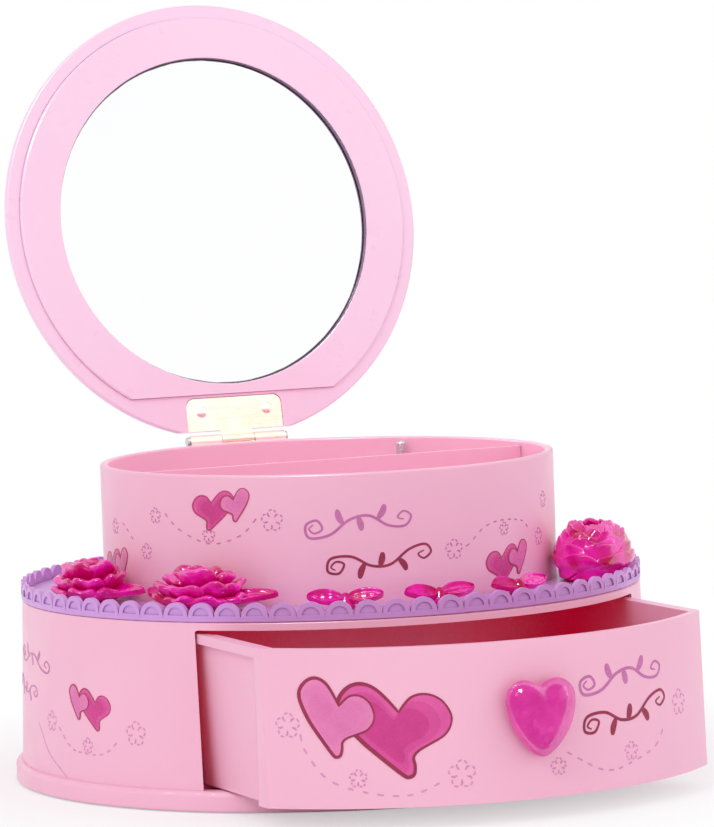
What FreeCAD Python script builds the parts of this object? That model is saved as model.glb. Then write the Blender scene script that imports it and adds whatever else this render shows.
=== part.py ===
import FreeCAD, Part
import math
import os

from FreeCAD import Vector

# Round two-tier jewellery box with a lid mirror, a drawer and a wind-up dancer.
# Millimetres and degrees. The origin is the centre of the underside, +Z is up and the drawer pulls to -Y.
# The lid and the drawer are drawn closed, then moved to the open rest pose.

# Overlap that joins two shapes into one solid, and how far a cutting shape runs past a face
join = 0.5
past = 1.0

# How far from its expected place an edge is still recognised
edge_search = 0.5

# Room beyond the tip of a screw, and clearances round its shank
pilot_room = 0.5
screw_clearance = 0.1
hole_clearance = 0.2

# Lower tier, plinth and deck
tier_radius = 100.0
tier_flare_width = 1.8
tier_wall = 2.4
tier_height = 51.8
deck_thickness = 2.5
deck_edge_round = 0.6
plinth_height = 6.2
plinth_overhang = 2.2
plinth_round = 1.8
plinth_foot_round = 0.5
plinth_seat = 0.6
panel_thickness = 2.4

# Screw columns between the base plate and the lower tier
column_radius = 3.6
column_angle_side = 78.0
column_angle_back = 29.0
column_wall_overlap = 0.6
base_screw_radius = 1.4
base_screw_head_radius = 3.0
base_screw_head_height = 1.6
base_screw_grip = 10.0
base_screw_recess = 0.5
screw_pad_height = 3.0
screw_pad_margin = 1.0

# Drawer opening and drawer
opening_half = 75.3
opening_corner = 0.8
drawer_side_gap = 0.8
drawer_floor_gap = 0.4
drawer_top_gap = 1.2
drawer_back_gap = 3.0
drawer_wall = 2.2
drawer_floor = 2.2
drawer_front = 2.6
drawer_corner = 3.0
drawer_flange_width = 2.1
drawer_flange_height = 3.0
drawer_side_inset = 2.4
drawer_return = 11.0
drawer_return_round = 4.0
drawer_open = 46.5

# Drawer rails
rail_width = 9.0
rail_gap = 0.3
rail_guide_width = 2.0
rail_guide_height = 8.0
rail_guide_gap = 1.0

# Heart knob
knob_width = 22.8
knob_height = 24.8
knob_depth = 9.0
knob_standoff = 1.2
knob_stem_radius = 4.0
knob_rise = 0.5
knob_screw_radius = 1.6
knob_screw_head_radius = 3.2
knob_screw_head_height = 1.8
knob_screw_grip = 4.0
knob_pad_radius = 5.0
knob_pad_height = 0.8
knob_stem_seat = 1.5

# Heart outline from the knob's middle, and (scale, share of depth) stations of its swell
heart_notch_height = 8.4
heart_shoulder_height = 4.9
heart_lobe_width = 6.1
heart_flank_width = 7.7
heart_flank_depth = 5.1
heart_swell_shares = ((0.86, 0.0), (1.0, 0.35), (0.88, 0.72), (0.52, 1.0))

# Lilac lace tray
lace_overhang = 0.2
lace_thickness = 1.8
lace_fence_wall = 1.5
lace_fence_height = 6.0
scallop_pitch = 8.75
scallop_gap = 0.3
scallop_recess = 0.5
scallop_border = 1.5
scallop_sill = 0.2
lace_edge_round = 0.4

# Upper tier
ledge_width = 25.4
upper_wall = 2.6
upper_height = 40.8
upper_floor = 2.4
upper_rim_round = 0.7
tray_floor_round = 1.5
divider_place = 2.0
divider_thickness = 1.8
divider_drop = 1.6
divider_gap = 0.15
peg_radius = 3.2
peg_inset = 13.7
peg_angles = (28.0, 64.0, 132.0)
tier_screw_radius = 1.4
tier_screw_head_radius = 4.2
tier_screw_head_height = 1.4
tier_screw_grip = 4.0

# Lid and mirror
lid_overhang = 0.9
lid_gap = 0.3
lid_edge = 3.6
lid_edge_round = 1.2
lid_foot_round = 0.6
lid_room_drop = 0.4
lid_room_step = 1.0
lid_crown = 5.5
lid_wall = 2.2
lid_open_angle = 100.5
plateau_inset = 4.4
plateau_height = 1.2
plateau_round = 0.7
frame_plate = 2.2
frame_gap = 0.1
frame_rib = 1.4
frame_rib_height = 2.0
mirror_lip = 1.8
mirror_thickness = 2.0
mirror_gap = 0.2
mirror_edge_round = 0.3
mirror_lip_round = 0.4
pad_radius = 7.0
pad_ring = 34.0
pad_count = 3

# Hinge
hinge_width = 34.6
hinge_leaf = 0.8
hinge_leaf_length = 11.0
hinge_leaf_recess = 0.4
hinge_leaf_gap = 0.2
hinge_leaf_margin = 1.05
hinge_leaf_corner = 3.0
hinge_knuckle_radius = 1.8
hinge_knuckle_half = 5.8
hinge_knuckle_gap = 0.25
hinge_pin_radius = 0.9
hinge_pin_gap = 0.04
hinge_pin_head_step = 0.5
hinge_pin_head_height = 0.8
hinge_pin_head_gap = 0.1
hinge_pad_depth = 1.1
hinge_pad_margin = 2.0
hinge_swing_gap = 1.4
rivet_radius = 2.0
rivet_head = 0.6
rivet_shank = 1.1
rivet_place = 11.9
rivet_inset = 4.4
rivet_short = 0.1
rivet_bite = 1.2

# Ledge ornaments
ornament_gap = 0.5
ornament_base_radius = 4.5
ornament_base_height = 1.2
blossom_height = 15.0
blossom_angles = (-86.0, -52.0)
rose_height = 18.5
rose_angle = 52.0
petal_thickness = 1.0
petal_count = 5
blossom_leaf_length = 20.0
blossom_leaf_tilt = 9.0
sprig_leaf_length = 10.5
sprig_leaf_tilt = 24.0
leaf_width = 7.0
leaf_thickness = 1.3
leaf_root = 2.0
sprig_angles = (-21.0, -1.0, 19.0)
sprig_foot_radius = 3.2
sprig_foot_height = 1.9

# Petal rings from the outside in: petal radius and reach as shares of the flower's radius, height as a share
# of its height, and tilt. The bud and a petal's spread are shares too.
blossom_rings = ((0.56, 0.68, 0.22, 20), (0.46, 0.42, 0.54, 46))
rose_rings = ((0.56, 0.68, 0.2, 26), (0.5, 0.5, 0.44, 44), (0.4, 0.3, 0.7, 60))
petal_spread = 0.72
bud_foot = 0.42
bud_neck = 0.3
bud_neck_height = 0.8
bud_foot_round = 0.5
bud_neck_round = 1.0

# Wind-up movement
spindle_inset = 23.7
key_well_radius = 15.0
key_well_wall = 2.0
key_well_depth = 11.0
bed_thickness = 2.4
bed_margin = 3.0
bed_boss_radius = 3.8
bed_screw_radius = 1.3
bed_screw_head_radius = 2.6
bed_screw_head_height = 1.4
bed_screw_grip = 5.5
barrel_radius = 12.6
barrel_height = 12.0
barrel_gap = 0.4
crown_teeth = 30
pinion_teeth = 15
crown_pitch_radius = 10.5
crown_face = 1.8
tooth_height = 1.3
tooth_root = 0.85
tooth_tip = 0.45
tooth_clearance = 0.15
tooth_sink = 0.2
pinion_side_gap = 0.2
barrel_foot_round = 0.8
barrel_crown_round = 0.6
cylinder_radius = 6.0
cylinder_gap = 0.8
cylinder_pin_radius = 0.35
cylinder_pin_height = 0.5
cylinder_pin_rows = 9
cylinder_pins_per_row = 5
cylinder_pin_turn = 137.5
cylinder_arbor_radius = 1.1
cylinder_arbor_bearing = 1.5
bearing_gap = 0.05
bracket_thickness = 1.5
bracket_width = 9.0
bracket_top = 3.0
comb_thickness = 1.0
comb_depth = 19.0
comb_tooth_length = 12.0
comb_teeth = 18
comb_slot = 0.35
comb_pluck_gap = 0.15
comb_screw_radius = 1.2
comb_screw_head_radius = 2.2
comb_screw_head_height = 1.2
comb_screw_grip = 5.0
governor_length = 10.0
governor_depth = 18.0
governor_top = 4.0
governor_round = 1.5

# Stop pin
stop_radius = 1.5
stop_guide_wall = 1.4
stop_gap = 0.1
stop_lid_gap = 0.4
stop_travel = 2.0
stop_guide_drop = 8.0
stop_wall_gap = 0.4
stop_end_gap = 0.4
stop_bite = 1.0
stop_foot_round = 0.3
stop_top_round = 0.7

# Winding key, spindle, turntable and dancer
arbor_radius = 2.2
arbor_gap = 0.08
arbor_reach = 6.0
arbor_end_gap = 0.3
key_span = 22.0
key_thickness = 2.4
key_height = 7.5
key_hub_radius = 3.4
key_rise = 1.4
key_hub_rise = 1.0
key_hub_start = 1.9
key_socket_start = 3.0
key_wing_corner = 2.9
key_window_place = 7.0
key_window_radius = 1.5
spindle_radius = 1.8
spindle_seat = 3.5
spindle_gap = 0.02
spindle_cover = 0.4
bush_wall = 1.6
bush_flange = 1.4
bush_flange_height = 0.6
bush_flange_round = 0.2
bush_gap = 0.02
turntable_radius = 9.0
turntable_height = 1.8
turntable_gap = 0.4
turntable_foot_round = 0.3
turntable_top_round = 0.8
dancer_height = 31.0

# Dancer's places as (x, y, share of the height above the turntable), radii, and torso corners as (radius,
# share of the height, fillet)
toe_place = (0.0, 0.0, 0.0)
toe_radius = 0.9
hip_place = (0.3, 0.0, 0.45)
hip_joint_radius = 1.5
thigh_place = (0.6, 0.0, 0.45)
thigh_radius = 1.4
knee_place = (5.2, -1.2, 0.36)
knee_radius = 1.0
raised_toe_place = (1.0, -0.8, 0.24)
raised_toe_radius = 0.55
head_place = (0.0, 0.0, 0.81)
head_radius = 2.0
bun_place = (0.0, 1.3, 0.875)
bun_radius = 1.0
shoulder_place = (1.8, 0.0, 0.68)
shoulder_radius = 0.65
elbow_place = (4.0, -0.6, 0.83)
elbow_radius = 0.55
hand_place = (0.9, -0.9, 0.975)
hand_radius = 0.4
torso_foot = 0.42
torso_corners = ((2.1, 0.45, 0.6), (1.4, 0.55, 0.8), (2.0, 0.66, 0.6), (0.8, 0.72, 0.3), (0.7, 0.76, 0.0))

# Tutu: its waist, crown and sag heights, and the share of its radius where it bends
tutu_radius = 9.0
tutu_thickness = 0.7
tutu_gap = 0.05
tutu_waist = 0.55
tutu_waist_radius = 1.75
tutu_waist_depth = 1.4
tutu_crown = 0.5
tutu_sag = 0.6
tutu_bend = 0.6
tutu_bend_round = 2.0

# Heights worked out from the sizes above
plinth_top = plinth_height
deck_top = plinth_top + tier_height
deck_under = deck_top - deck_thickness
lace_top = deck_top + lace_thickness
rim = lace_top + upper_height
tray_floor = lace_top + upper_floor
lid_under = rim + lid_gap
plateau_face = lid_under - plateau_height
mirror_face = plateau_face + frame_plate
lid_edge_top = lid_under + lid_edge
lid_crown_top = lid_edge_top + lid_crown
lid_flange_top = lid_under + lid_wall
lid_room_foot = lid_edge_top - lid_room_drop
lid_room_top = lid_crown_top - lid_wall

# Radii worked out from the sizes above
foot_radius = tier_radius + tier_flare_width
plinth_radius = foot_radius + plinth_overhang
lace_radius = tier_radius + lace_overhang
fence_inner = lace_radius - lace_fence_wall
scallop_count = round(2 * math.pi * lace_radius / scallop_pitch)
upper_radius = fence_inner - ledge_width
upper_inner = upper_radius - upper_wall
lid_radius = upper_radius + lid_overhang
plateau_radius = lid_radius - plateau_inset
lid_inner = lid_radius - lid_wall
lid_room_radius = lid_inner - lid_room_step
column_ring = tier_radius - tier_wall - column_radius + column_wall_overlap
peg_ring = upper_inner - peg_inset

# Hinge axis, behind the upper tier's back wall
hinge_face = upper_radius - hinge_pad_depth
hinge_y = hinge_face + hinge_leaf / 2 + hinge_knuckle_radius
hinge_z = lid_under + hinge_leaf_recess + hinge_leaf / 2
lid_chord = hinge_y - hinge_knuckle_radius - hinge_swing_gap
lid_leaf_start = lid_chord - hinge_leaf_length
plateau_chord = lid_leaf_start - hinge_leaf_margin - frame_gap
mirror_radius = plateau_chord - frame_rib - mirror_gap - mirror_lip

# Movement heights and places
spindle_place = upper_inner - spindle_inset
bed_under = key_well_depth + key_well_wall
bed_top = bed_under + bed_thickness
barrel_under = bed_top + barrel_gap
barrel_top = barrel_under + barrel_height
pinion_pitch_radius = crown_pitch_radius * pinion_teeth / crown_teeth
pinion_root = pinion_pitch_radius - tooth_height / 2 - tooth_clearance
pinion_tip = pinion_pitch_radius + tooth_height / 2 - tooth_clearance
cylinder_z = barrel_top + tooth_height / 2 + pinion_pitch_radius
stop_ring = upper_inner - stop_radius - stop_gap - stop_guide_wall - stop_wall_gap
stop_x = math.sqrt(stop_ring ** 2 - spindle_place ** 2)
governor_left = stop_x - governor_length / 2
governor_top_z = cylinder_z + governor_top
inner_bracket = barrel_radius + cylinder_gap
outer_bracket = governor_left - cylinder_gap - bracket_thickness
cylinder_left = inner_bracket + bracket_thickness + cylinder_gap
cylinder_right = outer_bracket - cylinder_gap
comb_tip = spindle_place - cylinder_radius - cylinder_pin_height - comb_pluck_gap
comb_back = comb_tip - comb_depth
bed_left = -barrel_radius - 2 * bed_boss_radius
bed_right = stop_x + governor_length / 2 + bed_margin
bed_front = comb_back - bed_margin
bed_rear = spindle_place + barrel_radius + bed_margin

# Drawer sizes, closed
drawer_half = opening_half - drawer_side_gap
drawer_under = plinth_top + drawer_floor_gap
drawer_top = deck_under - drawer_top_gap
drawer_back = bed_front - drawer_back_gap
side_half_top = drawer_half - drawer_flange_width
side_half_under = side_half_top - drawer_side_inset


def cylinder(radius, low, high, x=0.0, y=0.0):
    """Upright cylinder between two heights."""
    return Part.makeCylinder(radius, high - low, Vector(x, y, low))


def rod_x(radius, left, right, y, z):
    """Cylinder along X."""
    return Part.makeCylinder(radius, right - left, Vector(left, y, z), Vector(1, 0, 0))


def block(left, right, front, back, low, high):
    """Box between six limits."""
    return Part.makeBox(right - left, back - front, high - low, Vector(left, front, low))


def rounded_wire(corners):
    """Closed wire through (point, fillet radius) corners."""
    stretches = []
    count = len(corners)
    for index, (point, radius) in enumerate(corners):
        if radius <= 0:
            stretches.append((point, None, point))
            continue
        before = (corners[index - 1][0] - point).normalize()
        after = (corners[(index + 1) % count][0] - point).normalize()
        half = before.getAngle(after) / 2
        reach = radius / math.tan(half)
        middle = (before + after).normalize() * (radius / math.sin(half) - radius)
        stretches.append((point + before * reach, point + middle, point + after * reach))
    edges = []
    for index, (start, middle, end) in enumerate(stretches):
        if middle is not None:
            edges.append(Part.Arc(start, middle, end).toShape())
        following = stretches[(index + 1) % count][0]
        if end.distanceToPoint(following) > 1e-6:
            edges.append(Part.LineSegment(end, following).toShape())
    return Part.Wire(edges)


def turned(corners):
    """Solid of revolution about Z from (radius, height, fillet) corners."""
    wire = rounded_wire([(Vector(radius, 0, height), fillet) for radius, height, fillet in corners])
    return Part.Face(wire).revolve(Vector(0, 0, 0), Vector(0, 0, 1), 360)


def plan_prism(corners, low, high):
    """Prism from (x, y, fillet) corners."""
    wire = rounded_wire([(Vector(x, y, low), fillet) for x, y, fillet in corners])
    return Part.Face(wire).extrude(Vector(0, 0, high - low))


def ring_point(radius, angle):
    """Point at an angle from the front (-Y), turning towards +X."""
    turn = math.radians(angle)
    return Vector(radius * math.sin(turn), -radius * math.cos(turn), 0)


def fused(shapes):
    """One solid from overlapping shapes."""
    return shapes[0].multiFuse(shapes[1:]).removeSplitter()


def tier_radius_at(height):
    """Outside radius of the drafted lower tier."""
    return foot_radius - tier_flare_width * (height - plinth_top) / tier_height


def column_places():
    """Screw columns, clear of the drawer, from the back round to the sides."""
    front_x = opening_half + column_radius + screw_clearance
    front_y = -math.sqrt(column_ring ** 2 - front_x ** 2)
    places = [Vector(front_x, front_y, 0), Vector(-front_x, front_y, 0)]
    for angle in (column_angle_side, column_angle_back):
        places.append(ring_point(column_ring, 180 - angle))
        places.append(ring_point(column_ring, 180 + angle))
    return places


def bed_boss_places():
    """Bosses that carry the movement's bedplate."""
    left = bed_left + bed_boss_radius
    right = bed_right - bed_boss_radius
    front = bed_front + bed_boss_radius
    rear = bed_rear - bed_boss_radius
    return [Vector(left, front, 0), Vector(left, rear, 0), Vector(right, front, 0), Vector(right, rear, 0)]


def peg_places():
    """Pegs under the upper tier that pass through the lace tray and the deck."""
    places = []
    for angle in peg_angles:
        places.append(ring_point(peg_ring, 180 - angle))
        places.append(ring_point(peg_ring, 180 + angle))
    return places


def cut_deck_holes(shape, low, high):
    """Cut the holes that the pegs, the spindle and the stop pin need."""
    holes = [cylinder(peg_radius + hole_clearance, low, high, place.x, place.y) for place in peg_places()]
    bush_hole = spindle_radius + bearing_gap + bush_wall + hole_clearance
    holes.append(cylinder(bush_hole, low, high, 0, spindle_place))
    holes.append(cylinder(stop_radius + stop_gap, low, high, stop_x, spindle_place))
    return shape.cut(holes)


def make_base_plate():
    """Plinth pan with a closed flat underside, screw pads, movement bosses and the key well."""
    rim_inner = foot_radius - tier_wall - plinth_seat
    plate = turned([
        (0, 0, 0), (plinth_radius, 0, plinth_foot_round), (plinth_radius, plinth_top, plinth_round),
        (rim_inner, plinth_top, 0), (rim_inner, panel_thickness, 0), (0, panel_thickness, 0),
    ])
    screw_pad_radius = column_radius + screw_pad_margin
    additions = []
    for place in column_places():
        additions.append(cylinder(screw_pad_radius, 0, screw_pad_height, place.x, place.y))
    for place in bed_boss_places():
        additions.append(cylinder(bed_boss_radius, 0, bed_under, place.x, place.y))
    additions.append(cylinder(key_well_radius + key_well_wall, 0, bed_under, 0, spindle_place))
    plate = plate.multiFuse(additions)
    cuts = [cylinder(key_well_radius, 0, key_well_depth, 0, spindle_place)]
    cuts.append(cylinder(arbor_radius + arbor_gap, 0, bed_under, 0, spindle_place))
    head_room = base_screw_recess + base_screw_head_height
    for place in column_places():
        head_hole = base_screw_head_radius + hole_clearance
        cuts.append(cylinder(head_hole, 0, head_room, place.x, place.y))
        cuts.append(cylinder(base_screw_radius + hole_clearance, 0, screw_pad_height, place.x, place.y))
    for place in bed_boss_places():
        pilot = bed_screw_radius + screw_clearance
        pilot_low = bed_under - bed_screw_grip - pilot_room
        cuts.append(cylinder(pilot, pilot_low, bed_under, place.x, place.y))
    return plate.cut(cuts)


def make_base_screws():
    """Pan-head screws from the underside into the lower tier's columns."""
    screws = []
    for place in column_places():
        shoulder = base_screw_recess + base_screw_head_height
        head = cylinder(base_screw_head_radius, base_screw_recess, shoulder, place.x, place.y)
        shank_top = screw_pad_height + base_screw_grip
        shank = cylinder(base_screw_radius, base_screw_recess, shank_top, place.x, place.y)
        screws.append(head.fuse(shank))
    return Part.makeCompound(screws)


def make_lower_tier():
    """Drafted wall and deck, open underneath, with the drawer opening and screw columns."""
    tier = turned([
        (0, deck_top, 0), (tier_radius, deck_top, deck_edge_round), (foot_radius, plinth_top, 0),
        (foot_radius - tier_wall, plinth_top, 0), (tier_radius - tier_wall, deck_under, 0),
        (0, deck_under, 0),
    ])
    columns = []
    pilots = []
    for place in column_places():
        columns.append(cylinder(column_radius, screw_pad_height, deck_under + join, place.x, place.y))
        pilot = base_screw_radius + screw_clearance
        pilot_top = screw_pad_height + base_screw_grip + pilot_room
        pilots.append(cylinder(pilot, screw_pad_height, pilot_top, place.x, place.y))
    front = -foot_radius - past
    corners = [
        (Vector(-opening_half, front, plinth_top - past), 0),
        (Vector(opening_half, front, plinth_top - past), 0),
        (Vector(opening_half, front, deck_under), opening_corner),
        (Vector(-opening_half, front, deck_under), opening_corner),
    ]
    opening = Part.Face(rounded_wire(corners)).extrude(Vector(0, -front, 0))
    tier = tier.multiFuse(columns).cut(pilots + [opening])
    return cut_deck_holes(tier, deck_under - past, deck_top + past)


def make_scallop():
    """One scallop of the fence at the front, with its raised border."""
    radius = math.pi * lace_radius / scallop_count - scallop_gap / 2
    foot = lace_top - join
    centre_z = deck_top + lace_fence_height - radius
    outer = -lace_radius

    def arch(size, front, back):
        left = Vector(-size, front, centre_z)
        right = Vector(size, front, centre_z)
        edges = [
            Part.Arc(left, Vector(0, front, centre_z + size), right).toShape(),
            Part.LineSegment(right, Vector(size, front, foot)).toShape(),
            Part.LineSegment(Vector(size, front, foot), Vector(-size, front, foot)).toShape(),
            Part.LineSegment(Vector(-size, front, foot), left).toShape(),
        ]
        return Part.Face(Part.Wire(edges)).extrude(Vector(0, back - front, 0))

    body = arch(radius, outer, outer + lace_fence_wall)
    pocket = arch(radius - scallop_border, outer - past, outer + scallop_recess)
    sill_top = lace_top + scallop_sill
    sill = block(-radius, radius, outer - 2 * past, outer + lace_fence_wall, foot - past, sill_top)
    pocket = pocket.cut(sill)
    return body.cut(pocket)


def make_lace_tray():
    """Flat plate with an upright scalloped fence round its edge."""
    plate = turned([
        (0, deck_top, 0), (lace_radius, deck_top, lace_edge_round), (lace_radius, lace_top, 0),
        (0, lace_top, 0),
    ])
    scallop = make_scallop()
    fence = []
    for index in range(scallop_count):
        copy = scallop.copy()
        copy.rotate(Vector(0, 0, 0), Vector(0, 0, 1), 360.0 * (index + 0.5) / scallop_count)
        fence.append(copy)
    tray = plate.multiFuse(fence)
    return cut_deck_holes(tray, deck_top - past, lace_top + past)


def make_upper_tier():
    """Open round tray with the hinge flat, floor pegs and the stop pin's guide."""
    tier = turned([
        (0, lace_top, 0), (upper_radius, lace_top, 0), (upper_radius, rim, upper_rim_round),
        (upper_inner, rim, upper_rim_round), (upper_inner, tray_floor, tray_floor_round), (0, tray_floor, 0),
    ])
    pad_half = hinge_width / 2 + hinge_pad_margin
    pad_low = rim - hinge_leaf_length - hinge_pad_margin * 2
    pad = block(-pad_half, pad_half, 0, hinge_face, pad_low, rim)
    wall_middle = (upper_inner + upper_radius) / 2
    pad = pad.cut(cylinder(wall_middle, pad_low - past, rim + past))
    flat = block(-pad_half, pad_half, hinge_face, upper_radius + past, pad_low, rim + past)
    guide_radius = stop_radius + stop_gap + stop_guide_wall
    guide_top = rim - stop_guide_drop
    guide = cylinder(guide_radius, tray_floor - join, guide_top, stop_x, spindle_place)
    pegs = []
    pilots = []
    for place in peg_places():
        pegs.append(cylinder(peg_radius, deck_under, lace_top + join, place.x, place.y))
        pilot = tier_screw_radius + screw_clearance
        pilot_top = deck_under + tier_screw_grip + pilot_room
        pilots.append(cylinder(pilot, deck_under, pilot_top, place.x, place.y))
    tier = tier.multiFuse([pad, guide] + pegs).cut([flat] + pilots)
    bush_hole = cylinder(spindle_radius + bearing_gap + bush_wall, lace_top, tray_floor, 0, spindle_place)
    stop_hole = cylinder(stop_radius + stop_gap, lace_top, guide_top, stop_x, spindle_place)
    rivet_holes = []
    for side in (-1, 1):
        place = Vector(side * rivet_place, hinge_face - rivet_bite, case_rivet_height())
        rivet_holes.append(Part.makeCylinder(rivet_shank, rivet_bite + past, place, Vector(0, 1, 0)))
    return tier.cut([bush_hole, stop_hole] + rivet_holes)


def make_tier_screws():
    """Washer-head screws from below the deck into the rear pegs, behind the drawer."""
    screws = []
    for place in peg_places():
        if place.y < drawer_back + tier_screw_head_radius:
            continue
        head_low = deck_under - tier_screw_head_height
        head = cylinder(tier_screw_head_radius, head_low, deck_under, place.x, place.y)
        shank = cylinder(tier_screw_radius, head_low, deck_under + tier_screw_grip, place.x, place.y)
        screws.append(head.fuse(shank))
    return Part.makeCompound(screws)


def make_divider():
    """Straight partition that stands on the tray floor."""
    half = math.sqrt((upper_inner - divider_gap) ** 2 - (abs(divider_place) + divider_thickness) ** 2)
    low = divider_place - divider_thickness / 2
    top = rim - divider_drop
    corners = [
        (Vector(-half, low, tray_floor), tray_floor_round), (Vector(half, low, tray_floor), tray_floor_round),
        (Vector(half, low, top), 0), (Vector(-half, low, top), 0),
    ]
    return Part.Face(rounded_wire(corners)).extrude(Vector(0, divider_thickness, 0))


def front_cone(inset, low, high):
    """Solid that follows the drafted tier wall, a given depth inside it."""
    return turned([
        (0, low, 0), (tier_radius_at(low) - inset, low, 0), (tier_radius_at(high) - inset, high, 0),
        (0, high, 0),
    ])


def drawer_trough(half_top, half_under, low, high, back):
    """Tapered trough block, open to the front."""
    front = -foot_radius - past
    points = [
        Vector(-half_under, front, low), Vector(half_under, front, low),
        Vector(half_top, front, high), Vector(-half_top, front, high),
    ]
    face = Part.Face(Part.makePolygon(points + [points[0]]))
    return face.extrude(Vector(0, back - front, 0))


def front_end_back():
    """Y where the back of the drawer's front meets its ends, at the top."""
    return -math.sqrt((tier_radius_at(drawer_top) - drawer_front) ** 2 - drawer_half ** 2)


def return_root():
    """Half width at which the drawer's corner returns run out inside its side walls."""
    return side_half_under - drawer_wall / 2


def drawer_returns(high):
    """Corners that lead from the ends of the drawer's front back into its inset sides."""
    start = front_end_back()
    root = return_root()
    returns = []
    for side in (-1, 1):
        returns.append(plan_prism([
            (side * root, -foot_radius, 0), (side * drawer_half, -foot_radius, 0),
            (side * drawer_half, start, drawer_return_round), (side * root, start + drawer_return, 0),
        ], drawer_under, high))
    return returns


def make_drawer():
    """Drawer with a front that follows the tier, drafted sides and a side flange."""
    high = drawer_top
    low = drawer_under
    cone = front_cone(0, low, high)
    body = drawer_trough(side_half_top, side_half_under, low, high, drawer_back).common(cone)
    flange_low = high - drawer_flange_height
    flange = block(-drawer_half, drawer_half, -foot_radius - past, drawer_back, flange_low, high)
    flange = flange.common(cone)
    front_room = block(-drawer_half, drawer_half, -foot_radius - past, 0, low, high)
    front = front_room.common(cone)
    front = front.cut(front_cone(drawer_front, low - past, high + past))
    returns = [shape.common(cone) for shape in drawer_returns(flange_low + join)]
    outside = fused([body, flange, front] + returns)
    edges = [edge for edge in outside.Edges if is_front_corner(edge)]
    outside = outside.makeFillet(drawer_corner, edges)
    draft_share = drawer_side_inset * drawer_floor / (high - low)
    inner_top = side_half_top - drawer_wall
    inner_under = side_half_under + draft_share - drawer_wall
    inner_low = low + drawer_floor
    hollow = drawer_trough(inner_top, inner_under, inner_low, high, drawer_back - drawer_wall)
    hollow = hollow.common(front_cone(drawer_front, inner_low, high))
    drawer = outside.cut(hollow)
    return bore_knob_hole(drawer)


def is_front_corner(edge):
    """True for the two upright edges where the drawer's front meets its ends."""
    box = edge.BoundBox
    upright = box.ZLength > (drawer_top - drawer_under) / 2
    return upright and abs(abs(box.Center.x) - drawer_half) < edge_search and is_outermost(box.Center)


def is_outermost(point):
    """True for a point on the tier's drafted outside."""
    radius = math.hypot(point.x, point.y)
    return abs(radius - tier_radius_at(point.z)) < edge_search


def knob_height_place():
    """Height of the knob's screw."""
    return (drawer_under + drawer_top) / 2 + knob_rise


def knob_inner_face():
    """Y of the flat seat inside the drawer's front."""
    return -tier_radius_at(knob_height_place()) + drawer_front + knob_pad_height


def bore_knob_hole(drawer):
    """Add the flat pad inside the drawer's front and bore it for the knob's screw."""
    height = knob_height_place()
    inner = knob_inner_face()
    front = -tier_radius_at(height)
    start = Vector(0, front + drawer_front / 2, height)
    pad = Part.makeCylinder(knob_pad_radius, inner - start.y, start, Vector(0, 1, 0))
    hole_start = Vector(0, front - past, height)
    hole_radius = knob_screw_radius + hole_clearance
    hole = Part.makeCylinder(hole_radius, inner - hole_start.y, hole_start, Vector(0, 1, 0))
    return drawer.fuse(pad).cut(hole)


def heart_wire(scale, y, height):
    """Heart outline in an upright plane."""
    half = knob_width / 2 * scale
    top = knob_height / 2 * scale
    notch = heart_notch_height * scale
    shoulder = heart_shoulder_height * scale
    drop = heart_flank_depth * scale

    def place(x, z):
        return Vector(x, y, height + z)

    def side(sign):
        crest = place(sign * heart_lobe_width * scale, top)
        flank = place(sign * half, shoulder)
        lobe = Part.Arc(place(0, notch), crest, flank).toShape()
        run = Part.Arc(flank, place(sign * heart_flank_width * scale, -drop), place(0, -top)).toShape()
        return lobe, run

    right_lobe, right_run = side(1)
    left_lobe, left_run = side(-1)
    return Part.Wire(Part.sortEdges([right_lobe, right_run, left_run, left_lobe])[0])


def make_knob():
    """Puffed heart on a short stem."""
    height = knob_height_place()
    seat = -tier_radius_at(height - knob_stem_radius)
    back = seat - knob_standoff
    wires = [heart_wire(scale, back - knob_depth * share, height) for scale, share in heart_swell_shares]
    heart = Part.makeLoft(wires, True, False)
    stem_length = knob_standoff + knob_stem_seat
    stem = Part.makeCylinder(knob_stem_radius, stem_length, Vector(0, seat, height), Vector(0, -1, 0))
    pilot_depth = knob_screw_grip + pilot_room
    pilot_radius = knob_screw_radius + screw_clearance
    pilot = Part.makeCylinder(pilot_radius, pilot_depth, Vector(0, seat, height), Vector(0, -1, 0))
    return heart.fuse(stem).cut(pilot)


def make_knob_screw():
    """Screw from inside the drawer into the knob's stem."""
    height = knob_height_place()
    inner = knob_inner_face()
    seat = -tier_radius_at(height - knob_stem_radius)
    axis = Vector(0, 1, 0)
    tip = seat - knob_screw_grip
    shank = Part.makeCylinder(knob_screw_radius, inner - tip, Vector(0, tip, height), axis)
    head = Part.makeCylinder(knob_screw_head_radius, knob_screw_head_height, Vector(0, inner, height), axis)
    return shank.fuse(head)


def make_rails():
    """Pair of rails with outer guides that carry the drawer."""
    guide_inner = side_half_under + drawer_side_inset * rail_guide_height / (drawer_top - drawer_under)
    guide_inner = guide_inner + rail_guide_gap
    guide_outer = guide_inner + rail_guide_width
    strip_inner = guide_outer - rail_width
    strip_top = drawer_under - rail_gap
    clear_share = (drawer_half - guide_inner + rail_gap) / (drawer_half - return_root())
    front = front_end_back() + drawer_return * clear_share
    guide_top = drawer_under + rail_guide_height
    rails = []
    for side in (-1, 1):
        inner = side * strip_inner
        outer = side * guide_outer
        step = side * guide_inner
        points = [
            Vector(inner, front, panel_thickness), Vector(outer, front, panel_thickness),
            Vector(outer, front, guide_top), Vector(step, front, guide_top),
            Vector(step, front, strip_top), Vector(inner, front, strip_top),
        ]
        face = Part.Face(Part.makePolygon(points + [points[0]]))
        rails.append(face.extrude(Vector(0, drawer_back - front, 0)))
    return Part.makeCompound(rails)


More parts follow.
